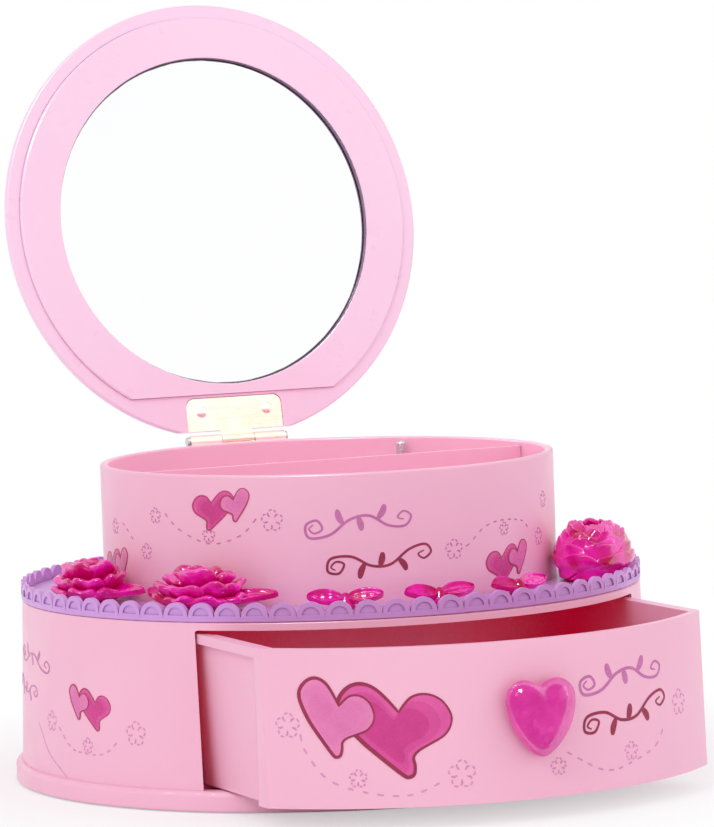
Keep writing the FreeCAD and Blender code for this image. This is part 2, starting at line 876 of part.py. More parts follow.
def lid_opening(clearance, low, high):
    """Round opening of the lid's underside with a straight edge before the hinge."""
    disc = cylinder(plateau_radius + clearance, low, high)
    beyond = block(-lid_radius, lid_radius, plateau_chord + clearance, lid_radius, low - past, high + past)
    return disc.cut(beyond)


def dome_ball_radius(radius, rise):
    """Radius of the ball whose cap has a given foot radius and rise."""
    return (radius ** 2 + rise ** 2) / (2 * rise)


def dome(radius, foot, top):
    """Shallow cap of a ball between two heights."""
    ball_radius = dome_ball_radius(radius, top - foot)
    ball = Part.makeSphere(ball_radius, Vector(0, 0, top - ball_radius))
    return ball.common(cylinder(radius, foot, top + past))


def make_lid_cover():
    """Crowned lid with a flat underside flange, the frame's opening and the leaf's recess."""
    skirt = turned([
        (0, lid_under, 0), (lid_radius, lid_under, lid_foot_round),
        (lid_radius, lid_edge_top, lid_edge_round), (0, lid_edge_top, 0),
    ])
    cover = skirt.fuse(dome(lid_radius - lid_edge_round, lid_edge_top, lid_crown_top)).removeSplitter()
    room = cylinder(lid_inner, lid_flange_top, lid_room_foot)
    room = room.fuse(dome(lid_room_radius, lid_room_foot, lid_room_top))
    cover = cover.cut([room, lid_opening(frame_gap, lid_under - past, lid_flange_top + past)])
    leaf_half = hinge_width / 2 + hinge_leaf_gap
    leaf_start = lid_leaf_start - hinge_leaf_gap
    pocket_top = lid_under + hinge_leaf_recess + hinge_leaf
    pocket = plan_prism([
        (-leaf_half, leaf_start, hinge_leaf_corner), (leaf_half, leaf_start, hinge_leaf_corner),
        (leaf_half, lid_radius + past, 0), (-leaf_half, lid_radius + past, 0),
    ], lid_under - past, pocket_top)
    beyond = block(-lid_radius, lid_radius, lid_chord, lid_radius + past, lid_under - past, lid_crown_top)
    holes = []
    for side in (-1, 1):
        holes.append(cylinder(rivet_shank + screw_clearance, lid_under, lid_flange_top + past,
                              side * rivet_place, lid_rivet_place()))
    return cover.cut([pocket, beyond] + holes)


def lid_rivet_place():
    """Y of the lid's rivets, closed."""
    return lid_leaf_start + rivet_inset


def case_rivet_height():
    """Height of the rivets in the upper tier's back wall."""
    return case_leaf_low() + rivet_inset


def case_leaf_low():
    """Lower edge of the leaf on the upper tier."""
    return rim - hinge_leaf_length


def make_mirror_frame():
    """Raised ring that nests in the tray's rim and holds the mirror from below."""
    inner = mirror_radius
    seat_radius = mirror_radius + mirror_lip + mirror_gap
    top = mirror_face + frame_rib_height
    ring = turned([
        (inner, plateau_face, mirror_lip_round), (plateau_radius, plateau_face, plateau_round),
        (plateau_radius, top, 0), (plateau_radius - frame_rib, top, 0),
        (plateau_radius - frame_rib, mirror_face, 0), (seat_radius + frame_rib, mirror_face, 0),
        (seat_radius + frame_rib, top, 0), (seat_radius, top, 0), (seat_radius, mirror_face, 0),
        (inner, mirror_face, 0),
    ])
    return ring.common(lid_opening(0, plateau_face - past, top + past))


def make_mirror():
    """Round mirror that lies on the frame's lip."""
    radius = mirror_radius + mirror_lip
    high = mirror_face + mirror_thickness
    return turned([
        (0, mirror_face, 0), (radius, mirror_face, mirror_edge_round), (radius, high, mirror_edge_round),
        (0, high, 0),
    ])


def crown_inner_height(radius):
    """Height of the lid's inside above the mirror, at a radius from the centre."""
    ball_radius = dome_ball_radius(lid_room_radius, lid_room_top - lid_room_foot)
    return lid_room_top - ball_radius + math.sqrt(ball_radius ** 2 - radius ** 2)


def make_mirror_pads():
    """Foam pads that press the mirror onto its frame."""
    low = mirror_face + mirror_thickness
    high = crown_inner_height(pad_ring + pad_radius)
    pads = []
    for index in range(pad_count):
        place = ring_point(pad_ring, 360.0 * index / pad_count)
        pads.append(cylinder(pad_radius, low, high, place.x, place.y))
    return Part.makeCompound(pads)


def knuckle(left, right):
    """Hollow hinge knuckle along the hinge axis."""
    outer = rod_x(hinge_knuckle_radius, left, right, hinge_y, hinge_z)
    bore = rod_x(hinge_pin_radius + hinge_pin_gap, left - past, right + past, hinge_y, hinge_z)
    return outer, bore


def make_lid_leaf():
    """Hinge leaf recessed in the lid, with the middle knuckle."""
    half = hinge_width / 2
    start = lid_leaf_start
    low = lid_under + hinge_leaf_recess
    high = low + hinge_leaf
    leaf = plan_prism([
        (-half, start, hinge_leaf_corner), (half, start, hinge_leaf_corner),
        (half, lid_chord, 0), (-half, lid_chord, 0),
    ], low, high)
    neck = block(-hinge_knuckle_half, hinge_knuckle_half, lid_chord - join, hinge_y, low, high)
    outer, bore = knuckle(-hinge_knuckle_half, hinge_knuckle_half)
    holes = []
    for side in (-1, 1):
        place_x = side * rivet_place
        holes.append(cylinder(rivet_shank + screw_clearance, low, high, place_x, lid_rivet_place()))
    return fused([leaf, neck, outer]).cut([bore] + holes)


def make_case_leaf():
    """Hinge leaf on the tier's back flat, with the two outer knuckles."""
    half = hinge_width / 2
    low = case_leaf_low()
    inner = hinge_face
    outer_face = hinge_face + hinge_leaf
    neck_low = hinge_z - hinge_knuckle_radius
    corners = [
        (Vector(-half, inner, low), hinge_leaf_corner), (Vector(half, inner, low), hinge_leaf_corner),
        (Vector(half, inner, neck_low), 0), (Vector(-half, inner, neck_low), 0),
    ]
    shapes = [Part.Face(rounded_wire(corners)).extrude(Vector(0, hinge_leaf, 0))]
    bores = []
    start = hinge_knuckle_half + hinge_knuckle_gap
    for left, right in ((-half, -start), (start, half)):
        shapes.append(block(left, right, inner, outer_face, neck_low - join, hinge_z))
        outer, bore = knuckle(left, right)
        shapes.append(outer)
        bores.append(bore)
    for side in (-1, 1):
        place = Vector(side * rivet_place, inner - past, case_rivet_height())
        hole_length = hinge_leaf + 2 * past
        bores.append(Part.makeCylinder(rivet_shank + screw_clearance, hole_length, place, Vector(0, 1, 0)))
    return fused(shapes).cut(bores)


def make_hinge_pin():
    """Pin through the knuckles with a peened head at each end."""
    head_start = hinge_width / 2 + hinge_pin_head_gap
    head_end = head_start + hinge_pin_head_height
    head_radius = hinge_pin_radius + hinge_pin_head_step
    pin = rod_x(hinge_pin_radius, -head_end, head_end, hinge_y, hinge_z)
    left = rod_x(head_radius, -head_end, -head_start, hinge_y, hinge_z)
    right = rod_x(head_radius, head_start, head_end, hinge_y, hinge_z)
    return fused([pin, left, right])


def rivet(place, direction, grip):
    """Domed rivet: its head stands on place and its shank runs against direction."""
    shank_start = place - direction * grip
    shank = Part.makeCylinder(rivet_shank, grip + rivet_head / 2, shank_start, direction)
    ball_radius = dome_ball_radius(rivet_radius, rivet_head)
    ball = Part.makeSphere(ball_radius, place - direction * (ball_radius - rivet_head))
    head = ball.common(Part.makeCylinder(rivet_radius, rivet_head + past, place, direction))
    return shank.fuse(head)


def make_lid_rivets():
    """Rivets through the lid's leaf."""
    low = lid_under + hinge_leaf_recess
    grip = lid_wall - hinge_leaf_recess - rivet_short
    rivets = []
    for side in (-1, 1):
        rivets.append(rivet(Vector(side * rivet_place, lid_rivet_place(), low), Vector(0, 0, -1), grip))
    return Part.makeCompound(rivets)


def make_case_rivets():
    """Rivets through the leaf on the upper tier."""
    rivets = []
    for side in (-1, 1):
        place = Vector(side * rivet_place, hinge_face + hinge_leaf, case_rivet_height())
        rivets.append(rivet(place, Vector(0, 1, 0), hinge_leaf + rivet_bite))
    return Part.makeCompound(rivets)


def ledge_middle():
    """Radius of the middle of the ledge between the upper tier and the fence."""
    return (upper_radius + fence_inner) / 2


def ornament_radius():
    """Largest radius of an ornament that fits on the ledge."""
    return (fence_inner - upper_radius) / 2 - ornament_gap


def petal(radius, reach, height, tilt, turn):
    """Cupped petal cut from a thin spherical shell."""
    ball = Part.makeSphere(radius)
    shell = ball.cut(Part.makeSphere(radius - petal_thickness))
    cap = shell.common(Part.makeCylinder(radius * petal_spread, radius + past))
    cap.translate(Vector(0, 0, -radius))
    cap.rotate(Vector(0, 0, 0), Vector(1, 0, 0), 180)
    cap.rotate(Vector(0, 0, 0), Vector(0, 1, 0), -tilt)
    cap.translate(Vector(reach, 0, height))
    cap.rotate(Vector(0, 0, 0), Vector(0, 0, 1), turn)
    return cap


def leaf(sign, length, tilt):
    """Pointed leaf along X that rises from its root."""
    start = Vector(sign * leaf_root, 0, 0)
    end = Vector(sign * (leaf_root + length), 0, 0)
    middle_x = sign * (leaf_root + length / 2)
    edges = [
        Part.Arc(start, Vector(middle_x, leaf_width / 2, 0), end).toShape(),
        Part.Arc(end, Vector(middle_x, -leaf_width / 2, 0), start).toShape(),
    ]
    blade = Part.Face(Part.Wire(edges)).extrude(Vector(0, 0, leaf_thickness))
    blade.rotate(Vector(0, 0, 0), Vector(0, 1, 0), -sign * tilt)
    return blade


def ornament_foot():
    """Round foot that stands on the lace tray."""
    return cylinder(ornament_base_radius, 0, ornament_base_height)


def make_flower(height, rings):
    """Rose of rings of cupped petals round a bud, from its foot at the origin."""
    size = ornament_radius()
    shapes = [ornament_foot()]
    bud_low = ornament_base_height - join
    shapes.append(turned([
        (0, bud_low, 0), (size * bud_foot, bud_low, bud_foot_round),
        (size * bud_neck, height * bud_neck_height, bud_neck_round), (0, height, 0),
    ]))
    for ring_index, (radius_share, reach_share, height_share, tilt) in enumerate(rings):
        offset = 180.0 / petal_count * ring_index
        for index in range(petal_count):
            turn = 360.0 * index / petal_count + offset
            shapes.append(petal(size * radius_share, size * reach_share, height * height_share, tilt, turn))
    return fused(shapes)


def on_ledge(shape, angle):
    """Stand an ornament on the ledge at an angle from the front."""
    placed = shape.copy()
    placed.rotate(Vector(0, 0, 0), Vector(0, 0, 1), angle)
    place = ring_point(ledge_middle(), angle)
    placed.translate(Vector(place.x, place.y, lace_top))
    return placed


def make_blossoms():
    """Open roses with a leaf at each side."""
    flower = make_flower(blossom_height, blossom_rings)
    leaves = [leaf(sign, blossom_leaf_length, blossom_leaf_tilt) for sign in (-1, 1)]
    flower = fused([flower] + leaves)
    return Part.makeCompound([on_ledge(flower, angle) for angle in blossom_angles])


def make_rose():
    """The fuller rose."""
    return on_ledge(make_flower(rose_height, rose_rings), rose_angle)


def make_sprigs():
    """Pairs of leaves that rise from a low foot."""
    foot = cylinder(sprig_foot_radius, 0, sprig_foot_height)
    leaves = [leaf(sign, sprig_leaf_length, sprig_leaf_tilt) for sign in (-1, 1)]
    sprig = fused([foot] + leaves)
    return Part.makeCompound([on_ledge(sprig, angle) for angle in sprig_angles])


def make_bedplate():
    """Flat plate that carries the movement."""
    corner = bed_boss_radius
    plate = plan_prism([
        (bed_left, bed_front, corner), (bed_right, bed_front, corner),
        (bed_right, bed_rear, corner), (bed_left, bed_rear, corner),
    ], bed_under, bed_top)
    holes = [cylinder(arbor_radius + arbor_gap, bed_under, bed_top, 0, spindle_place)]
    for place in bed_boss_places():
        holes.append(cylinder(bed_screw_radius + hole_clearance, bed_under, bed_top, place.x, place.y))
    return plate.cut(holes)


def make_movement_screws():
    """Screws that hold the bedplate on its bosses."""
    screws = []
    for place in bed_boss_places():
        tip = bed_under - bed_screw_grip
        shank = cylinder(bed_screw_radius, tip, bed_top + bed_screw_head_height, place.x, place.y)
        head = cylinder(bed_screw_head_radius, bed_top, bed_top + bed_screw_head_height, place.x, place.y)
        screws.append(shank.fuse(head))
    return Part.makeCompound(screws)


def tooth_section(root, tip, height):
    """Tapered tooth section in the YZ plane, on its own root line."""
    points = [
        Vector(0, -root / 2, -tooth_sink), Vector(0, root / 2, -tooth_sink),
        Vector(0, tip / 2, height), Vector(0, -tip / 2, height),
    ]
    return Part.Face(Part.makePolygon(points + [points[0]]))


def make_barrel():
    """Spring barrel with crown teeth round its top, a spindle socket and an arbor bore."""
    drum = turned([
        (0, barrel_under, 0), (barrel_radius, barrel_under, barrel_foot_round),
        (barrel_radius, barrel_top, barrel_crown_round), (0, barrel_top, 0),
    ])
    inner = crown_pitch_radius - crown_face / 2
    section = tooth_section(tooth_root, tooth_tip, tooth_height)
    tooth = section.extrude(Vector(crown_face, 0, 0))
    tooth.translate(Vector(inner, 0, barrel_top))
    teeth = []
    for index in range(crown_teeth):
        copy = tooth.copy()
        copy.rotate(Vector(0, 0, 0), Vector(0, 0, 1), 360.0 * (index + 0.5) / crown_teeth)
        teeth.append(copy)
    barrel = drum.multiFuse(teeth)
    socket = cylinder(spindle_radius + spindle_gap, barrel_top - spindle_seat, barrel_top + past)
    bore = cylinder(arbor_radius + arbor_gap, barrel_under, barrel_under + arbor_reach + arbor_end_gap)
    barrel = barrel.cut([socket, bore])
    barrel.translate(Vector(0, spindle_place, 0))
    return barrel


def make_spindle():
    """Spindle from the barrel up to the turntable."""
    top = turntable_low() + turntable_height - spindle_cover
    return cylinder(spindle_radius, barrel_top - spindle_seat, top, 0, spindle_place)


def turntable_low():
    """Underside of the turntable."""
    return tray_floor + bush_flange_height + turntable_gap


def make_spindle_bush():
    """Flanged bush in the tray floor."""
    bore = spindle_radius + bearing_gap
    outer = bore + bush_wall
    flange_top = tray_floor + bush_flange_height
    bush = turned([
        (bore, lace_top, 0), (outer - bush_gap, lace_top, 0), (outer - bush_gap, tray_floor, 0),
        (outer + bush_flange, tray_floor, 0), (outer + bush_flange, flange_top, bush_flange_round),
        (bore, flange_top, 0),
    ])
    bush.translate(Vector(0, spindle_place, 0))
    return bush


def make_turntable():
    """Disc that carries the dancer."""
    low = turntable_low()
    high = low + turntable_height
    disc = turned([
        (0, low, 0), (turntable_radius, low, turntable_foot_round),
        (turntable_radius, high, turntable_top_round), (0, high, 0),
    ])
    socket = cylinder(spindle_radius + spindle_gap, low - past, high - spindle_cover)
    disc = disc.cut(socket)
    disc.translate(Vector(0, spindle_place, 0))
    return disc


def limb(start, end, start_radius, end_radius):
    """Tapered limb with rounded ends."""
    direction = end - start
    cone = Part.makeCone(start_radius, end_radius, direction.Length, start, direction)
    return cone.multiFuse([Part.makeSphere(start_radius, start), Part.makeSphere(end_radius, end)])


def dancer_foot():
    """Height of the dancer's standing toe."""
    return turntable_low() + turntable_height


def dancer_point(place, side=1):
    """Point on the dancer, on one side or the other."""
    x, y, share = place
    return Vector(side * x, spindle_place + y, dancer_foot() + dancer_height * share)


def make_dancer():
    """Dancer on one pointed foot with arms rounded overhead."""
    corners = [(0, dancer_foot() + dancer_height * torso_foot, 0)]
    for radius, share, fillet in torso_corners:
        corners.append((radius, dancer_foot() + dancer_height * share, fillet))
    corners.append((0, corners[-1][1], 0))
    torso = turned(corners)
    torso.translate(Vector(0, spindle_place, 0))
    toe = dancer_point(toe_place)
    leg = dancer_point(hip_place) - toe
    knee = dancer_point(knee_place)
    shapes = [torso, Part.makeCone(toe_radius, hip_joint_radius, leg.Length, toe, leg)]
    shapes.append(limb(dancer_point(thigh_place), knee, thigh_radius, knee_radius))
    shapes.append(limb(knee, dancer_point(raised_toe_place), knee_radius, raised_toe_radius))
    shapes.append(Part.makeSphere(head_radius, dancer_point(head_place)))
    shapes.append(Part.makeSphere(bun_radius, dancer_point(bun_place)))
    for side in (-1, 1):
        elbow = dancer_point(elbow_place, side)
        shapes.append(limb(dancer_point(shoulder_place, side), elbow, shoulder_radius, elbow_radius))
        shapes.append(limb(elbow, dancer_point(hand_place, side), elbow_radius, hand_radius))
    return fused(shapes)


def make_tutu():
    """Flat classical skirt round the dancer's waist."""
    waist = dancer_foot() + dancer_height * tutu_waist
    inner = tutu_waist_radius + tutu_gap
    bend = tutu_radius * tutu_bend
    crown = waist + tutu_crown
    hem = waist - tutu_sag
    tutu = turned([
        (inner, waist, 0), (bend, crown, tutu_bend_round), (tutu_radius, hem, 0),
        (tutu_radius, hem - tutu_thickness, 0), (bend, crown - tutu_waist_depth, tutu_bend_round),
        (inner, waist - tutu_waist_depth, 0),
    ])
    tutu.translate(Vector(0, spindle_place, 0))
    return tutu


def make_cylinder():
    """Pinned cylinder on its arbor, with the pinion that meets the crown teeth."""
    half_face = crown_face / 2 + pinion_side_gap
    face_left = crown_pitch_radius - half_face
    face_right = crown_pitch_radius + half_face
    shapes = [rod_x(cylinder_radius, cylinder_left, cylinder_right, spindle_place, cylinder_z)]
    arbor_right = governor_left + cylinder_arbor_bearing
    shapes.append(rod_x(cylinder_arbor_radius, face_left, arbor_right, spindle_place, cylinder_z))
    shapes.append(rod_x(pinion_root, face_left, face_right, spindle_place, cylinder_z))
    tooth_rise = pinion_tip - pinion_root
    section = tooth_section(tooth_root, tooth_tip, tooth_rise)
    tooth = section.extrude(Vector(face_right - face_left, 0, 0))
    axis_point = Vector(0, spindle_place, cylinder_z)
    tooth.translate(Vector(face_left, spindle_place, cylinder_z + pinion_root))
    for index in range(pinion_teeth):
        copy = tooth.copy()
        copy.rotate(axis_point, Vector(1, 0, 0), 180 + 360.0 * index / pinion_teeth)
        shapes.append(copy)
    pin_length = cylinder_pin_height + join
    row_step = (cylinder_right - cylinder_left) / (cylinder_pin_rows + 1)
    for row in range(cylinder_pin_rows):
        for index in range(cylinder_pins_per_row):
            x = cylinder_left + row_step * (row + 1)
            start = Vector(x, spindle_place, cylinder_z + cylinder_radius - join)
            pin = Part.makeCylinder(cylinder_pin_radius, pin_length, start)
            pin.rotate(axis_point, Vector(1, 0, 0), cylinder_pin_turn * (row * cylinder_pins_per_row + index))
            shapes.append(pin)
    return shapes[0].multiFuse(shapes[1:])


def make_brackets():
    """Two bearing plates for the cylinder's arbor."""
    brackets = []
    for left in (inner_bracket, outer_bracket):
        right = left + bracket_thickness
        front = spindle_place - bracket_width / 2
        back = spindle_place + bracket_width / 2
        high = cylinder_z + bracket_top
        corners = [
            (Vector(left, front, bed_top), 0), (Vector(left, back, bed_top), 0),
            (Vector(left, back, high), bracket_top), (Vector(left, front, high), bracket_top),
        ]
        plate = Part.Face(rounded_wire(corners)).extrude(Vector(right - left, 0, 0))
        bore_radius = cylinder_arbor_radius + bearing_gap
        bore = rod_x(bore_radius, left - past, right + past, spindle_place, cylinder_z)
        brackets.append(plate.cut(bore))
    return Part.makeCompound(brackets)


def comb_screw_places():
    """The comb's two screws."""
    width = cylinder_right - cylinder_left
    y = comb_back + (comb_depth - comb_tooth_length) / 2
    return [Vector(cylinder_left + width * share, y, 0) for share in (0.25, 0.75)]


def make_comb():
    """Steel comb with slotted teeth that reach towards the cylinder's pins."""
    low = cylinder_z - comb_thickness / 2
    high = low + comb_thickness
    comb = block(cylinder_left, cylinder_right, comb_back, comb_tip, low, high)
    pitch = (cylinder_right - cylinder_left) / comb_teeth
    cuts = []
    for index in range(1, comb_teeth):
        centre = cylinder_left + pitch * index
        slot_front = comb_tip - comb_tooth_length
        cuts.append(block(centre - comb_slot / 2, centre + comb_slot / 2, slot_front, comb_tip + past,
                          low - past, high + past))
    for place in comb_screw_places():
        cuts.append(cylinder(comb_screw_radius + hole_clearance, low, high, place.x, place.y))
    return comb.cut(cuts)


def make_comb_block():
    """Block that raises the comb to the cylinder's axis."""
    high = cylinder_z - comb_thickness / 2
    back = comb_tip - comb_tooth_length
    body = block(cylinder_left, cylinder_right, comb_back, back, bed_top, high)
    pilots = []
    for place in comb_screw_places():
        pilot_low = high - comb_screw_grip - pilot_room
        pilots.append(cylinder(comb_screw_radius + screw_clearance, pilot_low, high, place.x, place.y))
    return body.cut(pilots)


def make_comb_screws():
    """Screws that hold the comb."""
    low = cylinder_z + comb_thickness / 2
    screws = []
    for place in comb_screw_places():
        head = cylinder(comb_screw_head_radius, low, low + comb_screw_head_height, place.x, place.y)
        tip = low - comb_thickness - comb_screw_grip
        shank = cylinder(comb_screw_radius, tip, low + comb_screw_head_height, place.x, place.y)
        screws.append(head.fuse(shank))
    return Part.makeCompound(screws)


def make_governor():
    """Closed housing of the speed governor, with a bearing for the arbor and a hole for the stop pin."""
    front = spindle_place - governor_depth / 2
    back = spindle_place + governor_depth / 2
    right = governor_left + governor_length
    housing = plan_prism([
        (governor_left, front, governor_round), (right, front, governor_round),
        (right, back, governor_round), (governor_left, back, governor_round),
    ], bed_top, governor_top_z)
    bore_radius = cylinder_arbor_radius + bearing_gap
    bearing_end = governor_left + cylinder_arbor_bearing + hole_clearance
    bearing = rod_x(bore_radius, governor_left - past, bearing_end, spindle_place, cylinder_z)
    stop_low = stop_pin_low() - stop_travel - stop_end_gap
    stop_hole = cylinder(stop_radius + stop_gap, stop_low, governor_top_z, stop_x, spindle_place)
    return housing.cut([bearing, stop_hole])


def stop_pin_low():
    """Lower end of the stop pin at rest, just inside the governor housing."""
    return governor_top_z - stop_bite


def make_stop_pin():
    """Pin that the closing lid is set to press, from the governor up through the tray."""
    top = plateau_face - stop_lid_gap
    pin = turned([
        (0, stop_pin_low(), 0), (stop_radius, stop_pin_low(), stop_foot_round),
        (stop_radius, top, stop_top_round), (0, top, 0),
    ])
    pin.translate(Vector(stop_x, spindle_place, 0))
    return pin


def make_arbor():
    """Winding arbor from the key up into the barrel."""
    return cylinder(arbor_radius, key_rise + key_socket_start, barrel_under + arbor_reach, 0, spindle_place)


def make_key():
    """Winged key on the arbor's lower end."""
    low = key_rise
    high = low + key_height
    half = key_span / 2
    depth = key_thickness / 2
    wing_top = high - key_hub_rise
    corner = key_wing_corner
    corners = [
        (Vector(-half, -depth, low), corner), (Vector(half, -depth, low), corner),
        (Vector(half, -depth, wing_top), corner), (Vector(-half, -depth, wing_top), corner),
    ]
    wing = Part.Face(rounded_wire(corners)).extrude(Vector(0, key_thickness, 0))
    windows = []
    for side in (-1, 1):
        centre = Vector(side * key_window_place, -depth - past, (low + wing_top) / 2)
        window_length = key_thickness + 2 * past
        windows.append(Part.makeCylinder(key_window_radius, window_length, centre, Vector(0, 1, 0)))
    hub = cylinder(key_hub_radius, low + key_hub_start, high)
    socket = cylinder(arbor_radius + spindle_gap, low + key_socket_start, high + past)
    key = wing.cut(windows).fuse(hub).cut(socket)
    key.translate(Vector(0, spindle_place, 0))
    return key


def open_lid(shape):
    """Swing a lid piece from closed to its open stop."""
    moved = shape.copy()
    moved.rotate(Vector(0, hinge_y, hinge_z), Vector(1, 0, 0), -lid_open_angle)
    return moved


def open_drawer(shape):
    """Pull a drawer piece from closed to its rest place."""
    moved = shape.copy()
    moved.translate(Vector(0, -drawer_open, 0))
    return moved


nodes = {
    "base_plate": make_base_plate(),
    "base_screws": make_base_screws(),
    "lower_tier": make_lower_tier(),
    "lace_tray": make_lace_tray(),
    "upper_tier": make_upper_tier(),
    "tier_screws": make_tier_screws(),
    "tray_divider": make_divider(),
    "drawer_rails": make_rails(),
    "side_blossoms": make_blossoms(),
    "full_rose": make_rose(),
    "leaf_sprigs": make_sprigs(),
    "case_hinge_leaf": make_case_leaf(),
    "case_rivets": make_case_rivets(),
    "hinge_pin": make_hinge_pin(),
    "movement_bedplate": make_bedplate(),
    "movement_screws": make_movement_screws(),
    "cylinder_brackets": make_brackets(),
    "music_comb": make_comb(),
    "comb_block": make_comb_block(),
    "comb_screws": make_comb_screws(),
    "governor_housing": make_governor(),
    "spindle_bush": make_spindle_bush(),
    "lid_cover": open_lid(make_lid_cover()),
    "mirror_frame": open_lid(make_mirror_frame()),
    "mirror_glass": open_lid(make_mirror()),
    "mirror_pads": open_lid(make_mirror_pads()),
    "lid_hinge_leaf": open_lid(make_lid_leaf()),
    "lid_rivets": open_lid(make_lid_rivets()),
    "drawer_box": open_drawer(make_drawer()),
    "heart_knob": open_drawer(make_knob()),
    "knob_screw": open_drawer(make_knob_screw()),
    "spring_barrel": make_barrel(),
    "drive_spindle": make_spindle(),
    "turntable": make_turntable(),
    "dancer_figure": make_dancer(),
    "dancer_tutu": make_tutu(),
    "music_cylinder": make_cylinder(),
    "winding_arbor": make_arbor(),
    "winding_key": make_key(),
    "stop_pin": make_stop_pin(),
}

os.makedirs("parts", exist_ok=True)
for name, shape in nodes.items():
    shape.exportStep("parts/" + name + ".step")
    print(name, len(shape.Solids), shape.isValid(), round(shape.Volume, 1))
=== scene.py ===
import random
from math import cos, exp, pi, radians, sin, tau

import bpy
from mathutils import Euler, Matrix, Vector


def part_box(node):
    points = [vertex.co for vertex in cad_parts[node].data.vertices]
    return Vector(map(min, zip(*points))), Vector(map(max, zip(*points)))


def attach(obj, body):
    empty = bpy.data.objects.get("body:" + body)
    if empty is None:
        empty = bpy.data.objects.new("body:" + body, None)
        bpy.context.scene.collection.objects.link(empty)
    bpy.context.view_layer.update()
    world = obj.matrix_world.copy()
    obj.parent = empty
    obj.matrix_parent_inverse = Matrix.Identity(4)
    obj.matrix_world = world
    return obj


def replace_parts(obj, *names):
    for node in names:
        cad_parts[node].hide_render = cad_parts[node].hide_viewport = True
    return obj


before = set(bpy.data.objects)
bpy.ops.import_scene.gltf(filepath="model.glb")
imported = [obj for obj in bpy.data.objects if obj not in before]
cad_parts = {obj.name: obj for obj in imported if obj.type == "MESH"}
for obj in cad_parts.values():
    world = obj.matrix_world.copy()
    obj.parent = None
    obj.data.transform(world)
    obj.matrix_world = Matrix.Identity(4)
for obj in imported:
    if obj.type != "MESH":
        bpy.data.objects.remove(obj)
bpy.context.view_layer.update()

# Looks of the round jewellery box. Shapes are in millimetres, materials and stage in metres.
MM = 0.001
TINY = 1e-9

# Sizes shared with the solids
UPPER_RADIUS = 73.3
FOOT_RADIUS = 101.8
FLARE = 1.8
PLINTH_TOP = 6.2
DECK_TOP = 58.0
WALL_SLOPE = FLARE / (DECK_TOP - PLINTH_TOP)
LACE_TOP = 59.8
LEDGE_MIDDLE = 86.0
DRAWER_OPEN = 46.5
DRAWER_HALF = 68.65
DRAWER_DRAFT = 0.05
MIRROR_RADIUS = 55.65
TURNTABLE_TOP = 65.0
SPINDLE_PLACE = 47.0
DANCER_HEIGHT = 31.0
KNOB_MIDDLE = Vector((0.0, -148.78, 30.95))


# ---- node helpers

# Usual spread of a noise's values, and its roughness
NOISE_SPAN = (0.3, 0.7)
NOISE_ROUGHNESS = 0.55
OCCLUSION_SAMPLES = 8


def srgb(*screen):
    """Linear colour with alpha from 0 to 255 screen values."""
    values = (value / 255.0 for value in screen)
    return (*(v / 12.92 if v <= 0.04045 else ((v + 0.055) / 1.055) ** 2.4 for v in values), 1.0)


def darker(colour, share):
    """Colour at a share of its brightness."""
    return tuple(value * share for value in colour[:3]) + (1.0,)


class Nodes:
    """A node tree whose nodes are made with their inputs fed."""

    def __init__(self, tree):
        self.nodes, self.links = tree.nodes, tree.links

    def feed(self, socket, value):
        """Link a socket, or set it to a fixed value."""
        if isinstance(value, bpy.types.NodeSocket):
            self.links.new(value, socket)
        else:
            socket.default_value = value

    def node(self, kind, inputs=None, **options):
        """New node with its options and inputs."""
        node = self.nodes.new("ShaderNode" + kind)
        for name, value in options.items():
            setattr(node, name, value)
        for key, value in (inputs or {}).items():
            self.feed(node.inputs[key], value)
        return node

    def math(self, operation, first, second=0.0):
        """Math on values or sockets."""
        return self.node("Math", {0: first, 1: second}, operation=operation).outputs[0]

    def span(self, value, low, high, to_low=0.0, to_high=1.0):
        """Map a value's range to another, clamped."""
        inputs = {"Value": value, "From Min": low, "From Max": high, "To Min": to_low, "To Max": to_high}
        return self.node("MapRange", inputs).outputs["Result"]

    def seen(self):
        """1 for rays that show a surface, also in gloss or glass, and 0 for rays that light it."""
        rays = self.node("LightPath").outputs
        seen = rays["Is Camera Ray"]
        for name in ("Is Glossy Ray", "Is Transmission Ray"):
            seen = self.math("MAXIMUM", seen, rays[name])
        return seen


